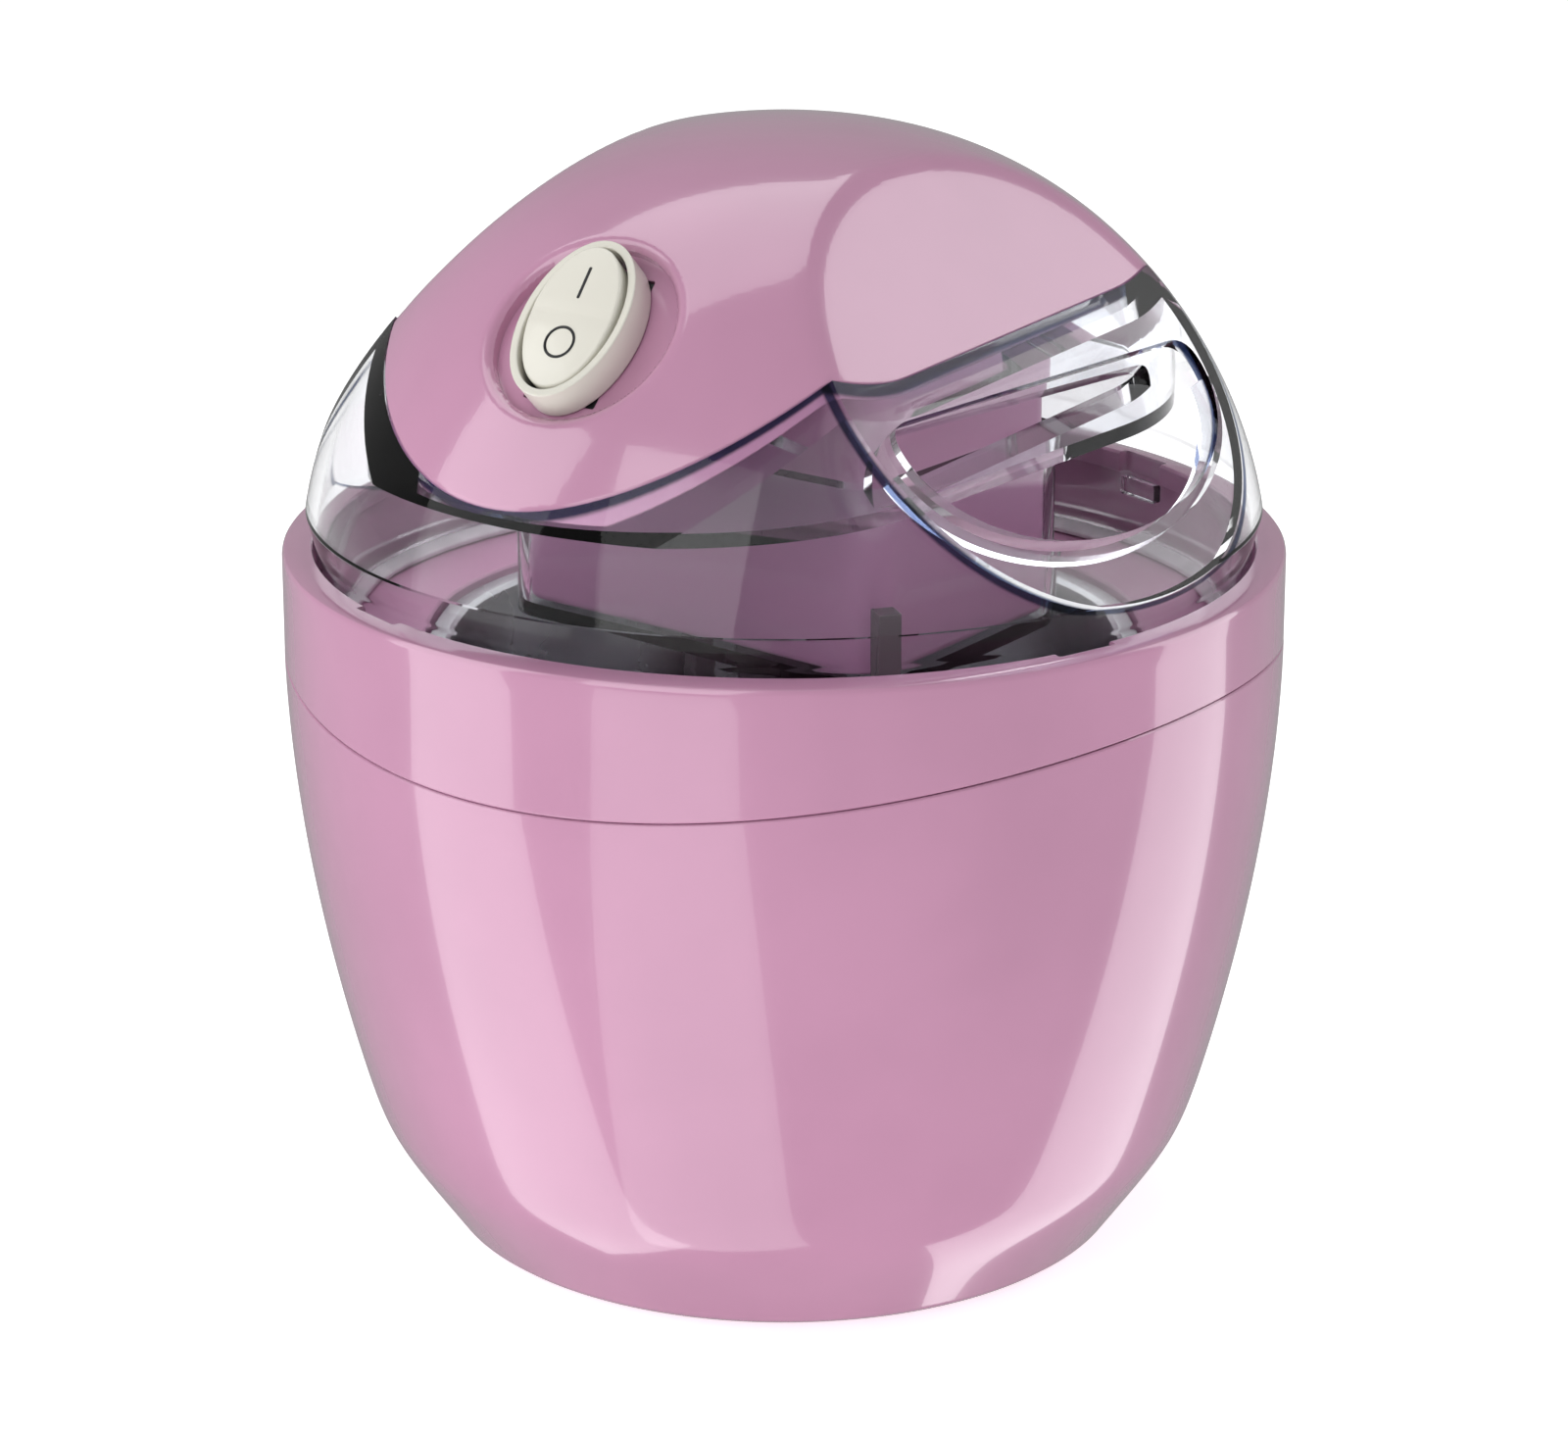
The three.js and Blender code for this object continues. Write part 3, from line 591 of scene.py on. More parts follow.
# %% The collar
def collar_ring():
    seam = SEAM_HEIGHT + SEAM_GAP / 2
    wall = [(90.0 + 0.05 * (126.9 - z) / 18, z) for z in (126.9, 124, 121, 118, 115, 112)]
    profile = [
        (LIP_INNER_RADIUS + 0.35, 128.4),
        (86.5, 128.3),
        (89.0, 128.1),
        (89.6, 127.9),
        (89.9, 127.5),
        *wall,
        (90.05, seam + 0.25),
        (89.8, seam),
        (87.4, seam),
        (86.8, 96),
        (84.9, 96),
        (84.9, SHELF_TOP - 2.5),
        (78.9, SHELF_TOP - 2.5),
        (78.5, SHELF_TOP - 2.1),
        (78.5, SHELF_TOP - 0.4),
        (78.9, SHELF_TOP),
        (86.4, SHELF_TOP),
        (86.4, 124.6),
        (LIP_INNER_RADIUS, 124.6),
        (LIP_INNER_RADIUS, 128.05),
    ]
    piece = turned("collar_ring_shell", profile, 320, ring=True)
    for vertex in piece.data.vertices:
        x, y, z = vertex.co / MM
        if math.hypot(x, y) < 87.2 or z > 123:
            continue
        share = min(1, (123 - z) / (123 - seam))
        vertex.co.z -= seam_wave(x, y) * share * MM
    for i in range(4):
        notch = box("notch", 12, 2.9, 124, 130)
        turn = (TAB_TURN + TOP_TURN + 90 * i) * DEG
        put(notch, Matrix.Rotation(turn, 4, "Z") @ Matrix.Translation((0, -84.6 * MM, 0)))
        cut(piece, notch)
    return smooth(piece)


collar = fit(collar_ring(), "base", "housing_pink", pink_gloss, "collar_ring")

# %% [markdown]
# ## Feet
# Four soft rubber buttons pressed into pockets in the underside. One is turned, with a groove
# that lets it grip, and the others are copies of it.


# %% Feet
def foot_button():
    return turned("foot", [
        (0, 0.3), (2.2, 0.3), (2.5, 0), (4.0, 0), (4.3, 0.3), (4.8, 0.3), (5.1, 0), (6.2, 0),
        (6.75, 0.25), (7, 0.8), (7, 2.5), (6.8, 2.7), (0, 2.7),
    ], 48)


pattern_foot = foot_button()
for number, (foot_x, foot_y) in enumerate(foot_places(), start=1):
    foot = copy_of(pattern_foot, f"rubber_foot_{number}")
    put(foot, Matrix.Translation((foot_x * MM, foot_y * MM, 0)))
    fit(foot, "base", "foot_rubber", foot_rubber, f"foot_{number}")
bpy.data.objects.remove(pattern_foot)

# %% [markdown]
# ## The freezer bowl
# The bowl is a double wall. Outside it is white plastic, inside spun aluminium, and the cold
# gel is sealed between them, filled through a plug in the underside. A pink ring closes the
# top and hangs the bowl on the collar's ledge. Each part is a turned piece: a profile with its
# wall's two sides, spun once.


# %% Bowl
bowl_outer = turned("bowl_outer_wall", [
    (5, BOWL_BOTTOM), (56.4, BOWL_BOTTOM), (58.4, 10.5), (60.4, 12.2), (61.8, 14.6), (62.2, 17),
    (66, 45), (70, 75), (74, BOWL_TOP - 0.5), (73.6, BOWL_TOP), (72.3, BOWL_TOP), (71.9, BOWL_TOP - 0.4),
    (68, 75), (64.2, 46), (60.2, 16.2), (59.2, 14), (56.9, 12.2), (55.6, BOWL_BOTTOM + 2),
    (5, BOWL_BOTTOM + 2),
], ring=True)
fit(bowl_outer, "bowl", "bowl_plastic", white_shell, "bowl_outer")

floor_curve = arc(48.6, 37.9, 7.4, 7.9, -90, -3, 10)
under_curve = arc(49.3, 37.6, 8.2, 9.1, -3, -90, 10)
bowl_liner = turned("bowl_liner_wall", [
    (0, LINER_FLOOR), (30, LINER_FLOOR), *floor_curve, (58.3, 73), (60.4, 106.6), (60.7, 108.2), (61.4, 109),
    (62, LINER_RIM), (64.2, LINER_RIM), (64.6, 108.7), (64.6, 107.9), (64.3, 107.6), (62.4, 107.6),
    (62.0, 107.2), (59.9, 73), *under_curve, (30, LINER_FLOOR - 1.5), (0, LINER_FLOOR - 1.5),
])
fit(bowl_liner, "bowl", "liner_aluminium", aluminium, "bowl_liner")

bowl_ring = turned("bowl_top_ring", [
    (65.2, 106.4), (75.8, 106.4), (76, 106.6), (76, 108.3), (83.7, 108.3), (84, 108.6),
    (84, 110.3), (83.8, 110.6), (83.4, 110.8), (74, 110.75), (65.5, 110.4), (65, 110), (65, 106.6),
], ring=True)
fit(bowl_ring, "bowl", "ring_pink", pink_ring, "bowl_ring")

plug = turned("gel_filler_plug", [
    (0, 8.2), (7.2, 8.2), (7.8, 8.4), (8, 8.8), (8, 9.4), (7.8, 9.6),
    (4.6, 9.6), (4.6, 12), (4.4, 12.3), (0, 12.3),
], 64)
cut(plug, box("coin_slot", 11, 1.4, 7, 8.9))
fit(smooth(plug), "bowl", "bowl_plastic", white_shell, "filler_plug")

seal = turned("lid_seal_ring", [
    (79.6, 111.1), (83.3, 111.1), (83.5, 111.3), (83.5, 112.9), (83.3, 113.1), (82, 113.1),
    (81.6, 112.9), (79.7, 112.1), (79.5, 111.8), (79.5, 111.3),
], ring=True)
fit(seal, "seal", "seal_silicone", seal_silicone, "lid_seal")

# %% [markdown]
# ## The dome that lid and motor cover share
# Lid and cover are one continuous dome, split along the band's outline. The dome is a turned
# superellipse, steeper than a ball at the lip and flatter on top, with a flat facet on each
# side. On the clear lid the facets are cut by a boolean, which keeps their edges crisp. On the
# pink cover they fade in softly: every vertex past the facet's plane is pressed back to it, and
# a smooth blend at the plane rounds the edge.


# %% Dome
def dome_point(angle, inset):
    """A point of the dome's profile: 0 is the lip and 90 the top. Inset runs inwards."""
    def at(a):
        return Vector((
            DOME_RADIUS * math.cos(a * DEG) ** (2 / DOME_ROUND_POWER),
            DOME_HEIGHT * math.sin(a * DEG) ** (2 / DOME_RISE_POWER),
        ))
    here = at(angle)
    along = (at(angle + 0.5) - at(angle - 0.5)).normalized()
    return (here.x - along.y * inset, LIP_HEIGHT + here.y + along.x * inset)


def dome(name, inset, bottom, sides=288, rows=76):
    skirt = SKIRT_RADIUS - inset
    profile = [(0, bottom), (skirt, bottom), (skirt, LIP_HEIGHT + 0.6), (skirt + 0.15, LIP_HEIGHT + 1.6)]
    profile += [dome_point(8 + 81 * i / (rows - 1), inset) for i in range(rows)]
    profile.append((0, LIP_HEIGHT + DOME_HEIGHT - inset))
    return turned(name, profile, sides)


def facet_normal(facet):
    turn, tilt = facet["turn"] * DEG, facet["tilt"] * DEG
    return Vector((math.sin(turn) * math.cos(tilt), -math.cos(turn) * math.cos(tilt), math.sin(tilt)))


def facet_frame(facet, height):
    """The facet's own frame, in metres: X level along it, Y up its slope, Z out of it."""
    turn, tilt = facet["turn"] * DEG, facet["tilt"] * DEG
    level = Vector((math.cos(turn), math.sin(turn), 0))
    out = facet_normal(facet)
    up = out.cross(level)
    reach = (facet["reach"] - (height - LIP_HEIGHT) * math.sin(tilt)) / math.cos(tilt)
    spot = Vector((math.sin(turn) * reach, -math.cos(turn) * reach, height)) * MM
    frame_of = Matrix((level, up, out)).transposed().to_4x4()
    frame_of.translation = spot
    return frame_of


def crisp_dome(name, inset, bottom):
    piece = dome(name, inset, bottom)
    for facet in (RIGHT_FACET, LEFT_FACET):
        beyond = box("beyond", 300, 300, -inset, 80)
        cut(piece, put(beyond, facet_frame(facet, LIP_HEIGHT + 30)))
    return piece


def soft_dome(name, inset, bottom, softness=0.6):
    piece = dome(name, inset, bottom)
    for vertex in piece.data.vertices:
        for facet in (RIGHT_FACET, LEFT_FACET):
            out = facet_normal(facet)
            past = (vertex.co / MM - Vector((0, 0, LIP_HEIGHT))).dot(out) - facet["reach"] + inset
            if past > -8 * softness:
                pressed = softness * math.log1p(math.exp(min(past / softness, 60)))
                pressed = max(pressed, past)
                vertex.co -= out * pressed * MM
    return piece


# %% [markdown]
# ## The clear lid
# One injection-moulded piece: the outer dome, a deck inside the band's outline, a square well
# in the middle that the motor pod drops into, and four bayonet tabs. The filling opening in the
# right facet is D-shaped, with a rim that stiffens it. Everything is one watertight solid,
# because clear plastic only looks right when light enters one wall and leaves through another.


# %% The D-shaped opening
def bend(start, corner, end, steps=7):
    """Points along a quadratic curve, without its start."""
    points = []
    for i in range(1, steps + 1):
        t = i / steps
        points.append(tuple(
            (1 - t) ** 2 * a + 2 * t * (1 - t) * b + t * t * c for a, b, c in zip(start, corner, end)
        ))
    return points


def opening_outline(grow):
    wide = OPENING["half_width"] + grow
    deep = OPENING["depth"] - 5 + grow
    left = bend((5 - wide, grow), (-wide, grow), (-wide, grow - 5))
    lower = arc(0, -5, wide, deep, 180, 360, 72)[1:]
    right = bend(lower[-1], (wide, grow), (wide - 5, grow))
    return [(5 - wide, grow), *left, *lower, *right]


def opening_solid(grow, inward, outward):
    piece = prism("opening", [(x + OPENING["shift"], y) for x, y in opening_outline(grow)], -inward, outward)
    return put(piece, facet_frame(RIGHT_FACET, OPENING["top"]))


# %% The lid's body
def well_solid(grow, corner, bottom, top):
    outline = rounded_rectangle(WELL["half_x"] + grow, WELL["half_y"] + grow, corner)
    return prism("well", outline, bottom, top)


def clear_lid():
    piece = crisp_dome("clear_lid", 0, SKIRT_BOTTOM)
    gap = BAND_HALF_WIDTH + BAND_GAP
    tub = prism("tub", slot_outline(gap + WALL), DECK_TOP - DECK_THICK, ABOVE_ALL)
    keep_inside(tub, copy_of(piece, "dome_again"))
    rim = keep_inside(opening_solid(OPENING["rim"], OPENING["deep"], 1), copy_of(piece, "dome_again"))
    above = put(box("above_corners", 120, 20, -15, 15), Matrix.Translation((0, 2 * MM, 0)))
    cut(rim, put(above, facet_frame(RIGHT_FACET, OPENING["top"])))
    cut(piece, crisp_dome("lid_inside", WALL, SKIRT_BOTTOM - 5))
    join(piece, tub)
    join(piece, rim)
    well_bottom = WELL["floor"] - WELL["thick"]
    join(piece, well_solid(WELL["wall"], 8.6, well_bottom, DECK_TOP))
    for i in range(4):
        tab = round_edges(box("tab", 10, 2.8, 120.7, 124.1), 0.4, 2)
        turn = (TAB_TURN + 90 * i) * DEG
        join(piece, put(tab, Matrix.Rotation(turn, 4, "Z") @ Matrix.Translation((0, -84.4 * MM, 0))))
    cut(piece, prism("band_space", slot_outline(gap), DECK_TOP, ABOVE_ALL))
    cut(piece, well_solid(0, 6.6, WELL["floor"], DECK_TOP + 1))
    cut(piece, rod("drive_hole", 7.2, well_bottom - 1, WELL["floor"] + 1))
    cut(piece, opening_solid(0, 12, 5))
    return face_top(smooth(piece, 12))


lid = clear_lid()
print("lid:", len(lid.data.polygons), "faces")


# %% [markdown]
# ## Clear polystyrene
# Crystal-clear plastic is seen by its edges. A wall that is cut square gathers light from far
# along the sheet and shows as a dark blue line. Here that line is painted shade: dark blue is
# painted into the colour of the cut faces, which get a second material, and thin painted lines
# of the same blue run along the borders of the facets. Seen at a slant, the wall looks darker,
# and a Layer Weight node paints that shade into the colour as well.


# %% Clear finishes
# The dark blue of the painted shade on the cut faces and along the facet borders.
EDGE_SHADE_NAVY = [0.012, 0.02, 0.06, 1]
CLEAR = [0.965, 0.97, 0.985, 1]


def past_facet(recipe, facet):
    """How far a point lies beyond a facet's plane, in millimetres."""
    out = Matrix.Rotation(TOP_TURN * DEG, 3, "Z") @ facet_normal(facet)
    x, y, z = recipe.axes()
    return x * out.x + y * out.y + (z - LIP_HEIGHT) * out.z - facet["reach"]


def dome_fill(recipe):
    """1 on the dome's surface, less inside it."""
    x, y, z = recipe.axes()
    radius = (x * x + y * y) ** 0.5 / DOME_RADIUS
    rise = ((z - LIP_HEIGHT) / DOME_HEIGHT).at_least(0)
    return radius ** DOME_ROUND_POWER + rise ** DOME_RISE_POWER


def clear_plastic(name, lines, tint=CLEAR):
    recipe = Recipe(name)
    edge_shade_mask = lines(recipe)
    # Painted shade: towards the silhouette a grey blue is mixed into the colour, for the darker look of the
    # wall at a slant.
    slant = recipe.node("ShaderNodeLayerWeight", inputs={"Blend": 0.25}, output="Facing")
    deep = (slant ** 3).ramp(0.55, 1.0) * 0.5
    base = recipe.mixed(deep, tint, [0.22, 0.25, 0.36, 1])
    # Painted shade: dark blue mixed into the colour wherever the edge mask is on.
    base = recipe.mixed(edge_shade_mask, base, EDGE_SHADE_NAVY)
    relief = recipe.bump(recipe.noise(60, detail=2), 0.02, 0.25)
    glass = recipe.surface(
        Base_Color=base, Roughness=0.03, Transmission_Weight=1.0, IOR=1.28, Normal=relief
    )
    light_path = recipe.node("ShaderNodeLightPath", output="Is Shadow Ray")
    passing = recipe.node("ShaderNodeBsdfTransparent", inputs={"Color": [0.86, 0.87, 0.9, 1]})
    mixed = recipe.node("ShaderNodeMixShader", inputs={0: light_path, 1: glass, 2: passing})
    return recipe.done(mixed)


def facet_border_shade(recipe):
    # Painted shade: a thin dark blue band on the dome just beside the edge of each facet.
    right = past_facet(recipe, RIGHT_FACET)
    left = past_facet(recipe, LEFT_FACET)
    right_line = right.ramp(-1.5, -1.1) * (1 - right.ramp(-0.5, -0.15))
    left_line = left.ramp(-1.5, -1.1) * (1 - left.ramp(-0.5, -0.15))
    return right_line.at_least(left_line)


def cut_edge_shade(recipe):
    """Painted shade mask: near 1 within about 2 mm of the outer surface, on the right facet or on the dome.
    """
    near_right = past_facet(recipe, RIGHT_FACET).ramp(-2.2, -1.4)
    near_dome = dome_fill(recipe).ramp(0.972, 0.985)
    return near_right.at_least(near_dome)


clear_wall = clear_plastic("clear_polystyrene", facet_border_shade)
# The cut faces' material: its greyer tint and the dark blue near the outer surface are painted shade.
clear_cut_shaded = clear_plastic("clear_polystyrene_edge_shade", cut_edge_shade, [0.88, 0.9, 0.94, 1])


# %% Which faces of the lid are cut edges
def band_distance(x, y):
    """Distance in plan from the spine of the motor band."""
    return math.hypot(x, max(0, abs(y) - BAND_CENTRE))


def finish_lid(piece):
    piece.data.materials.clear()
    piece.data.materials.append(clear_wall)
    # The second material carries the painted dark blue shade of the cut faces.
    piece.data.materials.append(clear_cut_shaded)
    back = Matrix.Rotation(-TOP_TURN * DEG, 3, "Z")
    out = facet_normal(RIGHT_FACET)
    to_opening = facet_frame(RIGHT_FACET, OPENING["top"]).inverted()
    count = 0
    for face in piece.data.polygons:
        centre = back @ face.center
        normal = back @ face.normal
        along_band = abs(band_distance(*(centre / MM).xy) - BAND_HALF_WIDTH - BAND_GAP) < 0.15
        upright = abs(normal.z) < 0.2
        spot = to_opening @ centre / MM
        in_opening = abs(normal.dot(out)) < 0.2 and spot.z > -6.5 and abs(spot.x) < 45 and -34 < spot.y < 3
        if (along_band and upright and centre.z > DECK_TOP * MM) or in_opening:
            face.material_index = 1
            count += 1
    print("lid: cut-edge faces", count)


finish_lid(lid)
fit(lid, "lid", "lid_clear", None, "lid")

# %% [markdown]
# ## Drive bush and paddle
# The motor turns a square peg that hangs through the lid's floor. A nylon bush lines that hole.
# The paddle is a flat frame that stands still in the bowl while its edges scrape the ice off
# the liner, and its two upright ends show above the rim.


# %% Bush and paddle
bush = turned("drive_bush_ring", [
    (5.3, 111.2), (9.2, 111.2), (9.5, 111.5), (9.5, 112.7), (9.3, 112.9), (6.9, 112.9),
    (6.9, 114.9), (6.6, 115.2), (5.3, 115.2), (5, 114.9), (5, 111.5),
], 96, ring=True)
fit(bush, "lid", "white_nylon", nylon, "drive_bush")


def paddle_outline():
    return [
        (-53.5, 130), (-58, 130), (-58, 112), (-54.3, 44), *bend((-54.3, 44), (-54, 32), (-44, 32)),
        (44, 32), *bend((44, 32), (54, 32), (54.3, 44)), (58, 112), (58, 130), (53.5, 130),
        (53.5, PADDLE["arm_top"]), (-53.5, PADDLE["arm_top"]),
    ]


def paddle_window():
    return [
        (-50, PADDLE["arm_bottom"]), (50, PADDLE["arm_bottom"]),
        (46, 48), *bend((46, 48), (45.5, 40), (38, 40)),
        (-38, 40), *bend((-38, 40), (-45.5, 40), (-46, 48)),
    ]


def mixing_paddle():
    upright = Matrix.Rotation(90 * DEG, 4, "X")
    piece = prism("mixing_paddle", paddle_outline(), -2, 2)
    cut(piece, prism("window", paddle_window(), -5, 5))
    put(piece, upright)
    join(piece, rod("hub", 8.5, PADDLE["hub_bottom"], PADDLE["hub_top"]))
    turn = (PADDLE_TURN - 90) * DEG
    socket = put(box("socket", 6.8, 6.8, 99, 111.5, 0.2), Matrix.Rotation(-turn, 4, "Z"))
    cut(piece, socket)
    round_edges(piece, 0.7, 3, 50)
    put(piece, Matrix.Rotation(turn, 4, "Z"))
    return face_top(smooth(piece, 35))


fit(mixing_paddle(), "paddle", "paddle_smoke", smoke, "paddle")

# %% [markdown]
# ## The motor cover
# The pink cover bridges the lid like a saddle. It is the soft dome, hollowed to an even wall
# and trimmed to the band's outline. A round recess holds the switch square to the slope. Its
# edge is rolled in by pressing the nearby vertices down a quarter circle before the cut, which
# needs a finer mesh there, so those faces are subdivided first.


# %% The switch's and the gland's frames
def switch_frame():
    turn = SWITCH["turn"] * DEG
    spot = Vector((SWITCH["radius"] * math.sin(turn), -SWITCH["radius"] * math.cos(turn), SWITCH["height"]))
    tilt = Matrix.Rotation((90 - SWITCH["tilt"]) * DEG, 4, "X")
    return Matrix.Translation(spot * MM) @ Matrix.Rotation(turn, 4, "Z") @ tilt


def gland_frame():
    spot = Vector((0, GLAND["back"], GLAND["height"])) * MM
    return Matrix.Translation(spot) @ Matrix.Rotation(-GLAND["lean"] * DEG, 4, "X")


def at_switch(piece):
    return put(piece, switch_frame())


def at_gland(piece):
    return put(piece, gland_frame())


SCREWS = [(33.8 * x, 20.4 * y) for x, y in ((-1, -1), (1, -1), (1, 1), (-1, 1))]


# %% Rolling in the recess edge
def refine_near_switch(piece, reach):
    to_switch = switch_frame().inverted()
    only(piece)
    for face in piece.data.polygons:
        spot = to_switch @ face.center / MM
        face.select = math.hypot(spot.x, spot.y) < reach and spot.z > -12
    bpy.ops.object.mode_set(mode="EDIT")
    bpy.ops.mesh.subdivide(number_cuts=2)
    bpy.ops.object.mode_set(mode="OBJECT")


def roll_recess_edge(piece, roll=2.4):
    to_switch = switch_frame().inverted()
    back = switch_frame()
    for vertex in piece.data.vertices:
        spot = to_switch @ vertex.co / MM
        out = math.hypot(spot.x, spot.y)
        if spot.z < -12 or not RECESS_RADIUS - 2 < out < RECESS_RADIUS + roll:
            continue
        share = min(0.94, (RECESS_RADIUS + roll - out) / (roll + 0.1))
        spot.z -= roll * (1 - math.sqrt(1 - share * share))
        vertex.co = back @ (spot * MM)


# %% The cover itself
def motor_cover():
    piece = soft_dome("motor_cover", 0, SKIRT_BOTTOM)
    refine_near_switch(piece, RECESS_RADIUS + 5)
    roll_recess_edge(piece)
    cup = at_switch(rod("cup", RECESS_RADIUS + 1.9, -RECESS_DEPTH - 2.2, 12, 96))
    keep_inside(cup, copy_of(piece, "dome_again"))
    cut(piece, soft_dome("cover_inside", WALL, SKIRT_BOTTOM - 5))
    keep_inside(piece, prism("band_space", slot_outline(BAND_HALF_WIDTH), DECK_TOP + 0.6, ABOVE_ALL))
    join(piece, cup)
    cut(piece, at_switch(rod("recess", RECESS_RADIUS, -RECESS_DEPTH, 20, 128)))
    cut(piece, at_switch(box("switch_window", 14.6, 25.6, -12, 0)))
    cut(piece, at_gland(rod("gland_hole", 4.6, -12, 8)))
    inside = soft_dome("boss_limit", 1, SKIRT_BOTTOM)
    for x, y in SCREWS:
        boss = put(rod("boss", 3.4, 149.9, ABOVE_ALL, 32), Matrix.Translation((x * MM, y * MM, 0)))
        join(piece, keep_inside(boss, copy_of(inside, "limit")))
        cut(piece, put(rod("hole", 1.8, 140, 163, 24), Matrix.Translation((x * MM, y * MM, 0))))
    bpy.data.objects.remove(inside)
    return face_top(smooth(piece, 25))


fit(motor_cover(), "motor_unit", "shell_pink", pink_gloss, "motor_shell")


# %% [markdown]
# ## The motor housing under the cover
# Through the clear lid, the underside of the motor unit shows: a pod that holds motor and
# gears, and a thin skin that closes the cover off. It follows the cover's inside at a small
# gap, so it is made from the same dome with a larger inset.


# %% Motor housing
def motor_housing():
    under = soft_dome("under", 2.8, SKIRT_BOTTOM)
    piece = copy_of(under, "motor_pod")
    cut(piece, soft_dome("skin_inside", 4.6, SKIRT_BOTTOM - 5))
    keep_inside(piece, prism("belly", slot_outline(45), DECK_TOP + 1, ABOVE_ALL))
    half_x, half_y, corner, bottom, wall = POD.values()
    pod = prism("pod", rounded_rectangle(half_x, half_y, corner), bottom, ABOVE_ALL)
    pod = round_edges(pod, 1.2, 3, 60)
    join(piece, keep_inside(pod, copy_of(under, "limit")))
    join(piece, keep_inside(at_switch(rod("pocket", 21.2, -9.8, 2, 96)), under))
    join(piece, at_switch(box("pocket_box", 18, 29, -20, -8, 2)))
    inner = rounded_rectangle(half_x - wall, half_y - wall, corner - 2)
    cut(piece, prism("pod_space", inner, bottom + wall, ABOVE_ALL))
    cut(piece, at_switch(rod("cup_space", 19.4, -8, 20, 96)))
    cut(piece, at_switch(box("switch_space", 15.2, 26.2, -18.2, 0)))
    cut(piece, at_gland(rod("gland_space", 6.4, -12, 8)))
    cut(piece, rod("peg_hole", 6, bottom - 1, bottom + wall + 1))
    for x, y in SCREWS:
        there = Matrix.Translation((x * MM, y * MM, 0))
        post = put(rod("post", 4.6, bottom + 1, 149.5, 32), there)
        reach = prism("reach", rounded_rectangle(half_x - 1, half_y - 1, corner), bottom, 150)
        join(piece, keep_inside(post, reach))
        cut(piece, put(rod("sink", 3.3, bottom - 1, 146.2, 48), there))
        cut(piece, put(rod("clearance", 1.9, 146, 150, 32), there))
    return face_top(smooth(piece, 25))


# The pod's pink is darkened as painted shade.
fit(motor_housing(), "motor_unit", "motor_housing_pink", pink_inner_shaded, "motor_housing")


# %% Screws
def cross_screw():
    piece = turned("screw", [
        (0, 143.2), (1.6, 143.25), (2.6, 143.5), (2.9, 143.9),
        (2.9, 145.5), (1.5, 145.9), (1.5, 160.8), (0, 162),
    ], 48)
    cut(piece, box("cross", 3.4, 0.7, 142, 144.4, 0.1))
    cut(piece, box("cross", 0.7, 3.4, 142, 144.4, 0.1))
    return smooth(piece)


pattern_screw = cross_screw()
for number, (screw_x, screw_y) in enumerate(SCREWS, start=1):
    screw = copy_of(pattern_screw, f"cross_screw_{number}")
    put(screw, Matrix.Translation((screw_x * MM, screw_y * MM, 0)))
    fit(face_top(screw), "motor_unit", "screw_steel", steel, f"housing_screw_{number}")
bpy.data.objects.remove(pattern_screw)

# %% [markdown]
# ## Cord gland
# The lead leaves at the back through a soft sleeve. Its ribs let it flex, and a flange inside
# keeps it in its hole.

# %% Gland
gland = turned("cord_gland_sleeve", [
    (2.9, -5.4), (5.6, -5.4), (5.8, -5.2), (5.8, -3.7), (5.6, -3.5), (4.3, -3.5), (4.3, 0.4),
    (6, 0.4), (6.2, 0.6), (6.2, 1.7), (5.9, 2), (5.2, 2.1), (5.2, 2.5), (5.6, 2.7), (5.6, 3.2),
    (4.9, 3.4), (4.9, 3.8), (5.2, 4), (5.2, 4.5), (4.6, 4.8), (4.6, 5.2), (4.3, 5.5), (3.1, 5.5), (2.9, 5.3),
], 96, ring=True)
fit(face_top(at_gland(gland)), "motor_unit", "gland_rubber", gland_rubber, "cord_gland")


# %% [markdown]
# ## The switch
# An oval off-white plate with a rocker in it. The rocker's top is two shallow planes that meet
# over its pivot, so one end stands proud and the other lies low. The marks are thin printed
# shapes a hair above the plastic: a bar for on and a ring for off.


# %% Bezel and rocker
def switch_plate():
    piece = prism("switch_plate", oval(10.3, 15.5, 128), -RECESS_DEPTH + 0.3, 1.6)
    cut(piece, prism("rocker_space", oval(8.9, 14.1, 128), -8, 4))
    bore = put(rod("bore", 1.5, -9.7, 9.7, 32), Matrix.Rotation(90 * DEG, 4, "Y"))
    put(bore, Matrix.Translation((0, 0, ROCKER_PIVOT * MM)))
    cut(piece, bore)
    round_edges(piece, 0.45, 3, 50)
    return face_top(at_switch(smooth(piece, 35)))


def rocker_top(y):
    """Height of the rocker's top at a place along its length."""
    return 2.4 + (0.9 * y / 13.4 if y > 0 else 1.5 * y / 13.4)


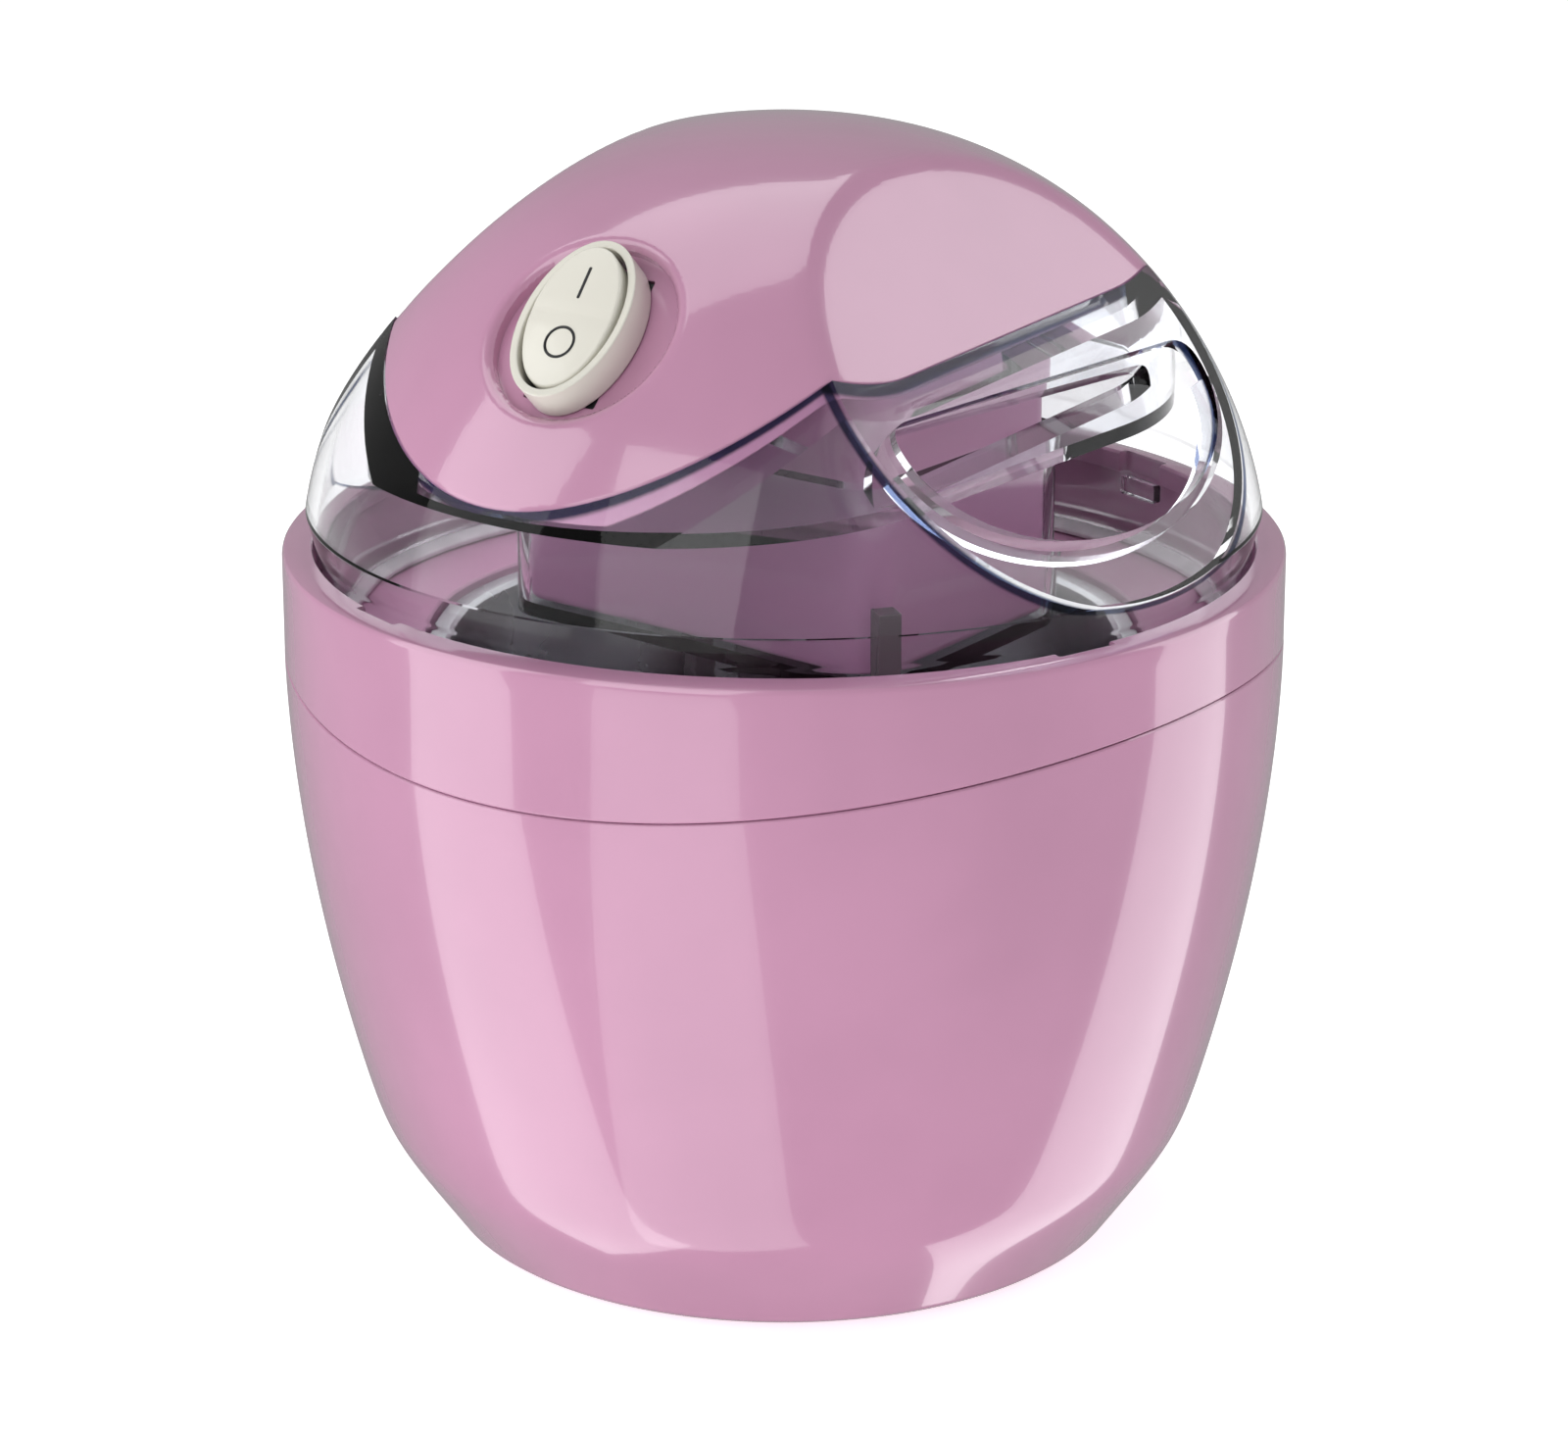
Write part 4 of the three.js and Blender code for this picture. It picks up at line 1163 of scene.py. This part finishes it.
def switch_rocker():
    side = [(-13.4, -1.6), (-6, -3.2), (6, -3.2), (13.4, -1.6), (13.4, rocker_top(13.4))]
    crest = [(y / 4, rocker_top(y / 4) - 0.12 * math.exp(-((y / 5) ** 2))) for y in range(12, -13, -4)]
    side += [*crest, (-13.4, rocker_top(-13.4))]
    piece = prism("rocker_cap", side, -9, 9)
    to_length = Matrix.Rotation(90 * DEG, 4, "Z") @ Matrix.Rotation(90 * DEG, 4, "X")
    put(piece, to_length)
    keep_inside(piece, prism("rocker_limit", oval(8.2, 13.2, 128), -4, 6))
    round_edges(piece, 0.45, 3, 50)
    pin = put(rod("pin", 1.2, -9.3, 9.3, 32), Matrix.Rotation(90 * DEG, 4, "Y"))
    put(pin, Matrix.Translation((0, 0, ROCKER_PIVOT * MM)))
    join(piece, pin)
    return face_top(at_switch(smooth(piece, 20)))


fit(switch_plate(), "motor_unit", "switch_white", off_white, "switch_bezel")
fit(switch_rocker(), "rocker", "switch_white", off_white, "switch_rocker")


# %% Marks
def laid_on_rocker(piece, centre_y):
    """Tips a flat mark to the rocker's slope and sets it a hair above it."""
    slope = math.atan((rocker_top(centre_y + 1) - rocker_top(centre_y - 1)) / 2)
    spot = Vector((0, centre_y, rocker_top(centre_y) + 0.01)) * MM
    put(piece, Matrix.Translation(spot) @ Matrix.Rotation(slope, 4, "X"))
    return face_top(at_switch(piece))


on_mark = laid_on_rocker(box("mark_on", 0.55, 6, 0, 0.05, 0.2), 6.2)
ring_mark = prism("mark_off", oval(3.0, 3.0, 64), 0, 0.05)
cut(ring_mark, prism("ring_space", oval(2.5, 2.5, 64), -1, 1))
off_mark = laid_on_rocker(ring_mark, -5.0)
for mark in (on_mark, off_mark):
    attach(mark, "rocker")
    mark.data.materials.clear()
    mark.data.materials.append(black_nylon)

# %% [markdown]
# ## What the housing hides
# Gears, plates, coil and switch block are sealed in, and their CAD shapes are right. They stay
# as they are and only get their finishes.

# %% Finishes for the CAD pieces that stay
INSIDE = {
    "coolant_gel": gel_blue,
    "switch_body": black_nylon,
    "switch_terminal_1": brass,
    "switch_terminal_2": brass,
    "gear_plate_lower": steel,
    "gear_plate_upper": steel,
    "gear_pillar_1": brass,
    "gear_pillar_2": brass,
    "gear_pillar_3": brass,
    "gear_pillar_4": brass,
    "idler_axle": steel,
    "idler_gear": nylon,
    "output_gear": nylon,
    "rotor": ferrite,
    "stator_coil": copper,
    "motor_can": steel,
}
for node_name, finish in INSIDE.items():
    node_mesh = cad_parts[node_name].data
    node_mesh.materials.clear()
    node_mesh.materials.append(finish)
print(len(INSIDE), "CAD pieces keep their shape")

# %% [markdown]
# ## Studio
# A product shot on white: a pale floor that runs out of sight, a bright surround, and upright
# soft boxes to the left and right. The gloss housing bends their reflections into tall petals.
# Its walls lean inwards, so what they mirror lies low: the floor is hidden from reflections, and
# three more boxes stand below it, where only the gloss can see them.

# %% Floor and surround
bpy.ops.object.select_all(action="DESELECT")
bpy.ops.mesh.primitive_plane_add(size=30)
floor = bpy.context.object
floor.name = "studio_floor"
floor_recipe = Recipe("studio_floor")
floor_finish = floor_recipe.surface(
    Base_Color=[0.9, 0.9, 0.9, 1], Roughness=0.9, Emission_Color=[1, 1, 1, 1], Emission_Strength=0.6
)
floor.data.materials.append(floor_recipe.done(floor_finish))
floor.visible_glossy = False


def white_surround(seen=1.0, lighting=0.34):
    """White to the lens, even through clear plastic, and dimmer as a light."""
    world = bpy.data.worlds.new("studio")
    bpy.context.scene.world = world
    world.use_nodes = True
    tree = world.node_tree
    path = tree.nodes.new("ShaderNodeLightPath")
    either = tree.nodes.new("ShaderNodeMath")
    either.operation = "MAXIMUM"
    tree.links.new(path.outputs["Is Camera Ray"], either.inputs[0])
    tree.links.new(path.outputs["Is Transmission Ray"], either.inputs[1])
    strength = tree.nodes.new("ShaderNodeMapRange")
    strength.inputs["To Min"].default_value = lighting
    strength.inputs["To Max"].default_value = seen
    tree.links.new(either.outputs[0], strength.inputs["Value"])
    tree.nodes["Background"].inputs["Color"].default_value = [1, 1, 1, 1]
    tree.links.new(strength.outputs["Result"], tree.nodes["Background"].inputs["Strength"])


white_surround()
bpy.context.scene.view_settings.view_transform = "Standard"


# %% Soft boxes
def soft_box(name, azimuth, height, distance, width, tall, power):
    """An upright area light that looks at the middle of the machine."""
    light = bpy.data.lights.new(name, "AREA")
    light.shape = "RECTANGLE"
    light.size, light.size_y = width, tall
    light.energy = power
    lamp = bpy.data.objects.new(name, light)
    bpy.context.scene.collection.objects.link(lamp)
    spot = Vector((math.sin(azimuth * DEG) * distance, -math.cos(azimuth * DEG) * distance, height))
    lamp.location = spot
    lamp.rotation_euler = (Vector((0, 0, 0.1)) - spot).to_track_quat("-Z", "Y").to_euler()
    return lamp


soft_box("left_far", -78, 0.5, 1.3, 0.8, 1.3, 6)
soft_box("left_near", -27, 0.7, 1.4, 0.9, 1.2, 7)
soft_box("right_side", 103, 0.5, 1.3, 0.7, 1.3, 6)
soft_box("petal_left_far", -76, -0.8, 1.1, 0.75, 1.7, 7)
soft_box("petal_left_near", -26, -0.8, 1.1, 0.85, 1.7, 5.5)
soft_box("petal_right", 103, -0.8, 1.1, 0.7, 1.7, 6.5)
soft_box("overhead", 200, 1.5, 0.5, 1.4, 1.0, 7)

# %% Camera
camera = bpy.data.objects.new("camera", bpy.data.cameras.new("camera"))
bpy.context.scene.collection.objects.link(camera)
camera.data.lens = 110.8
camera.data.sensor_width = 36
camera.location = (0, -0.834, 0.373)
camera.rotation_euler = ((90 - 18.55) * DEG, 0, 0)
bpy.context.scene.camera = camera
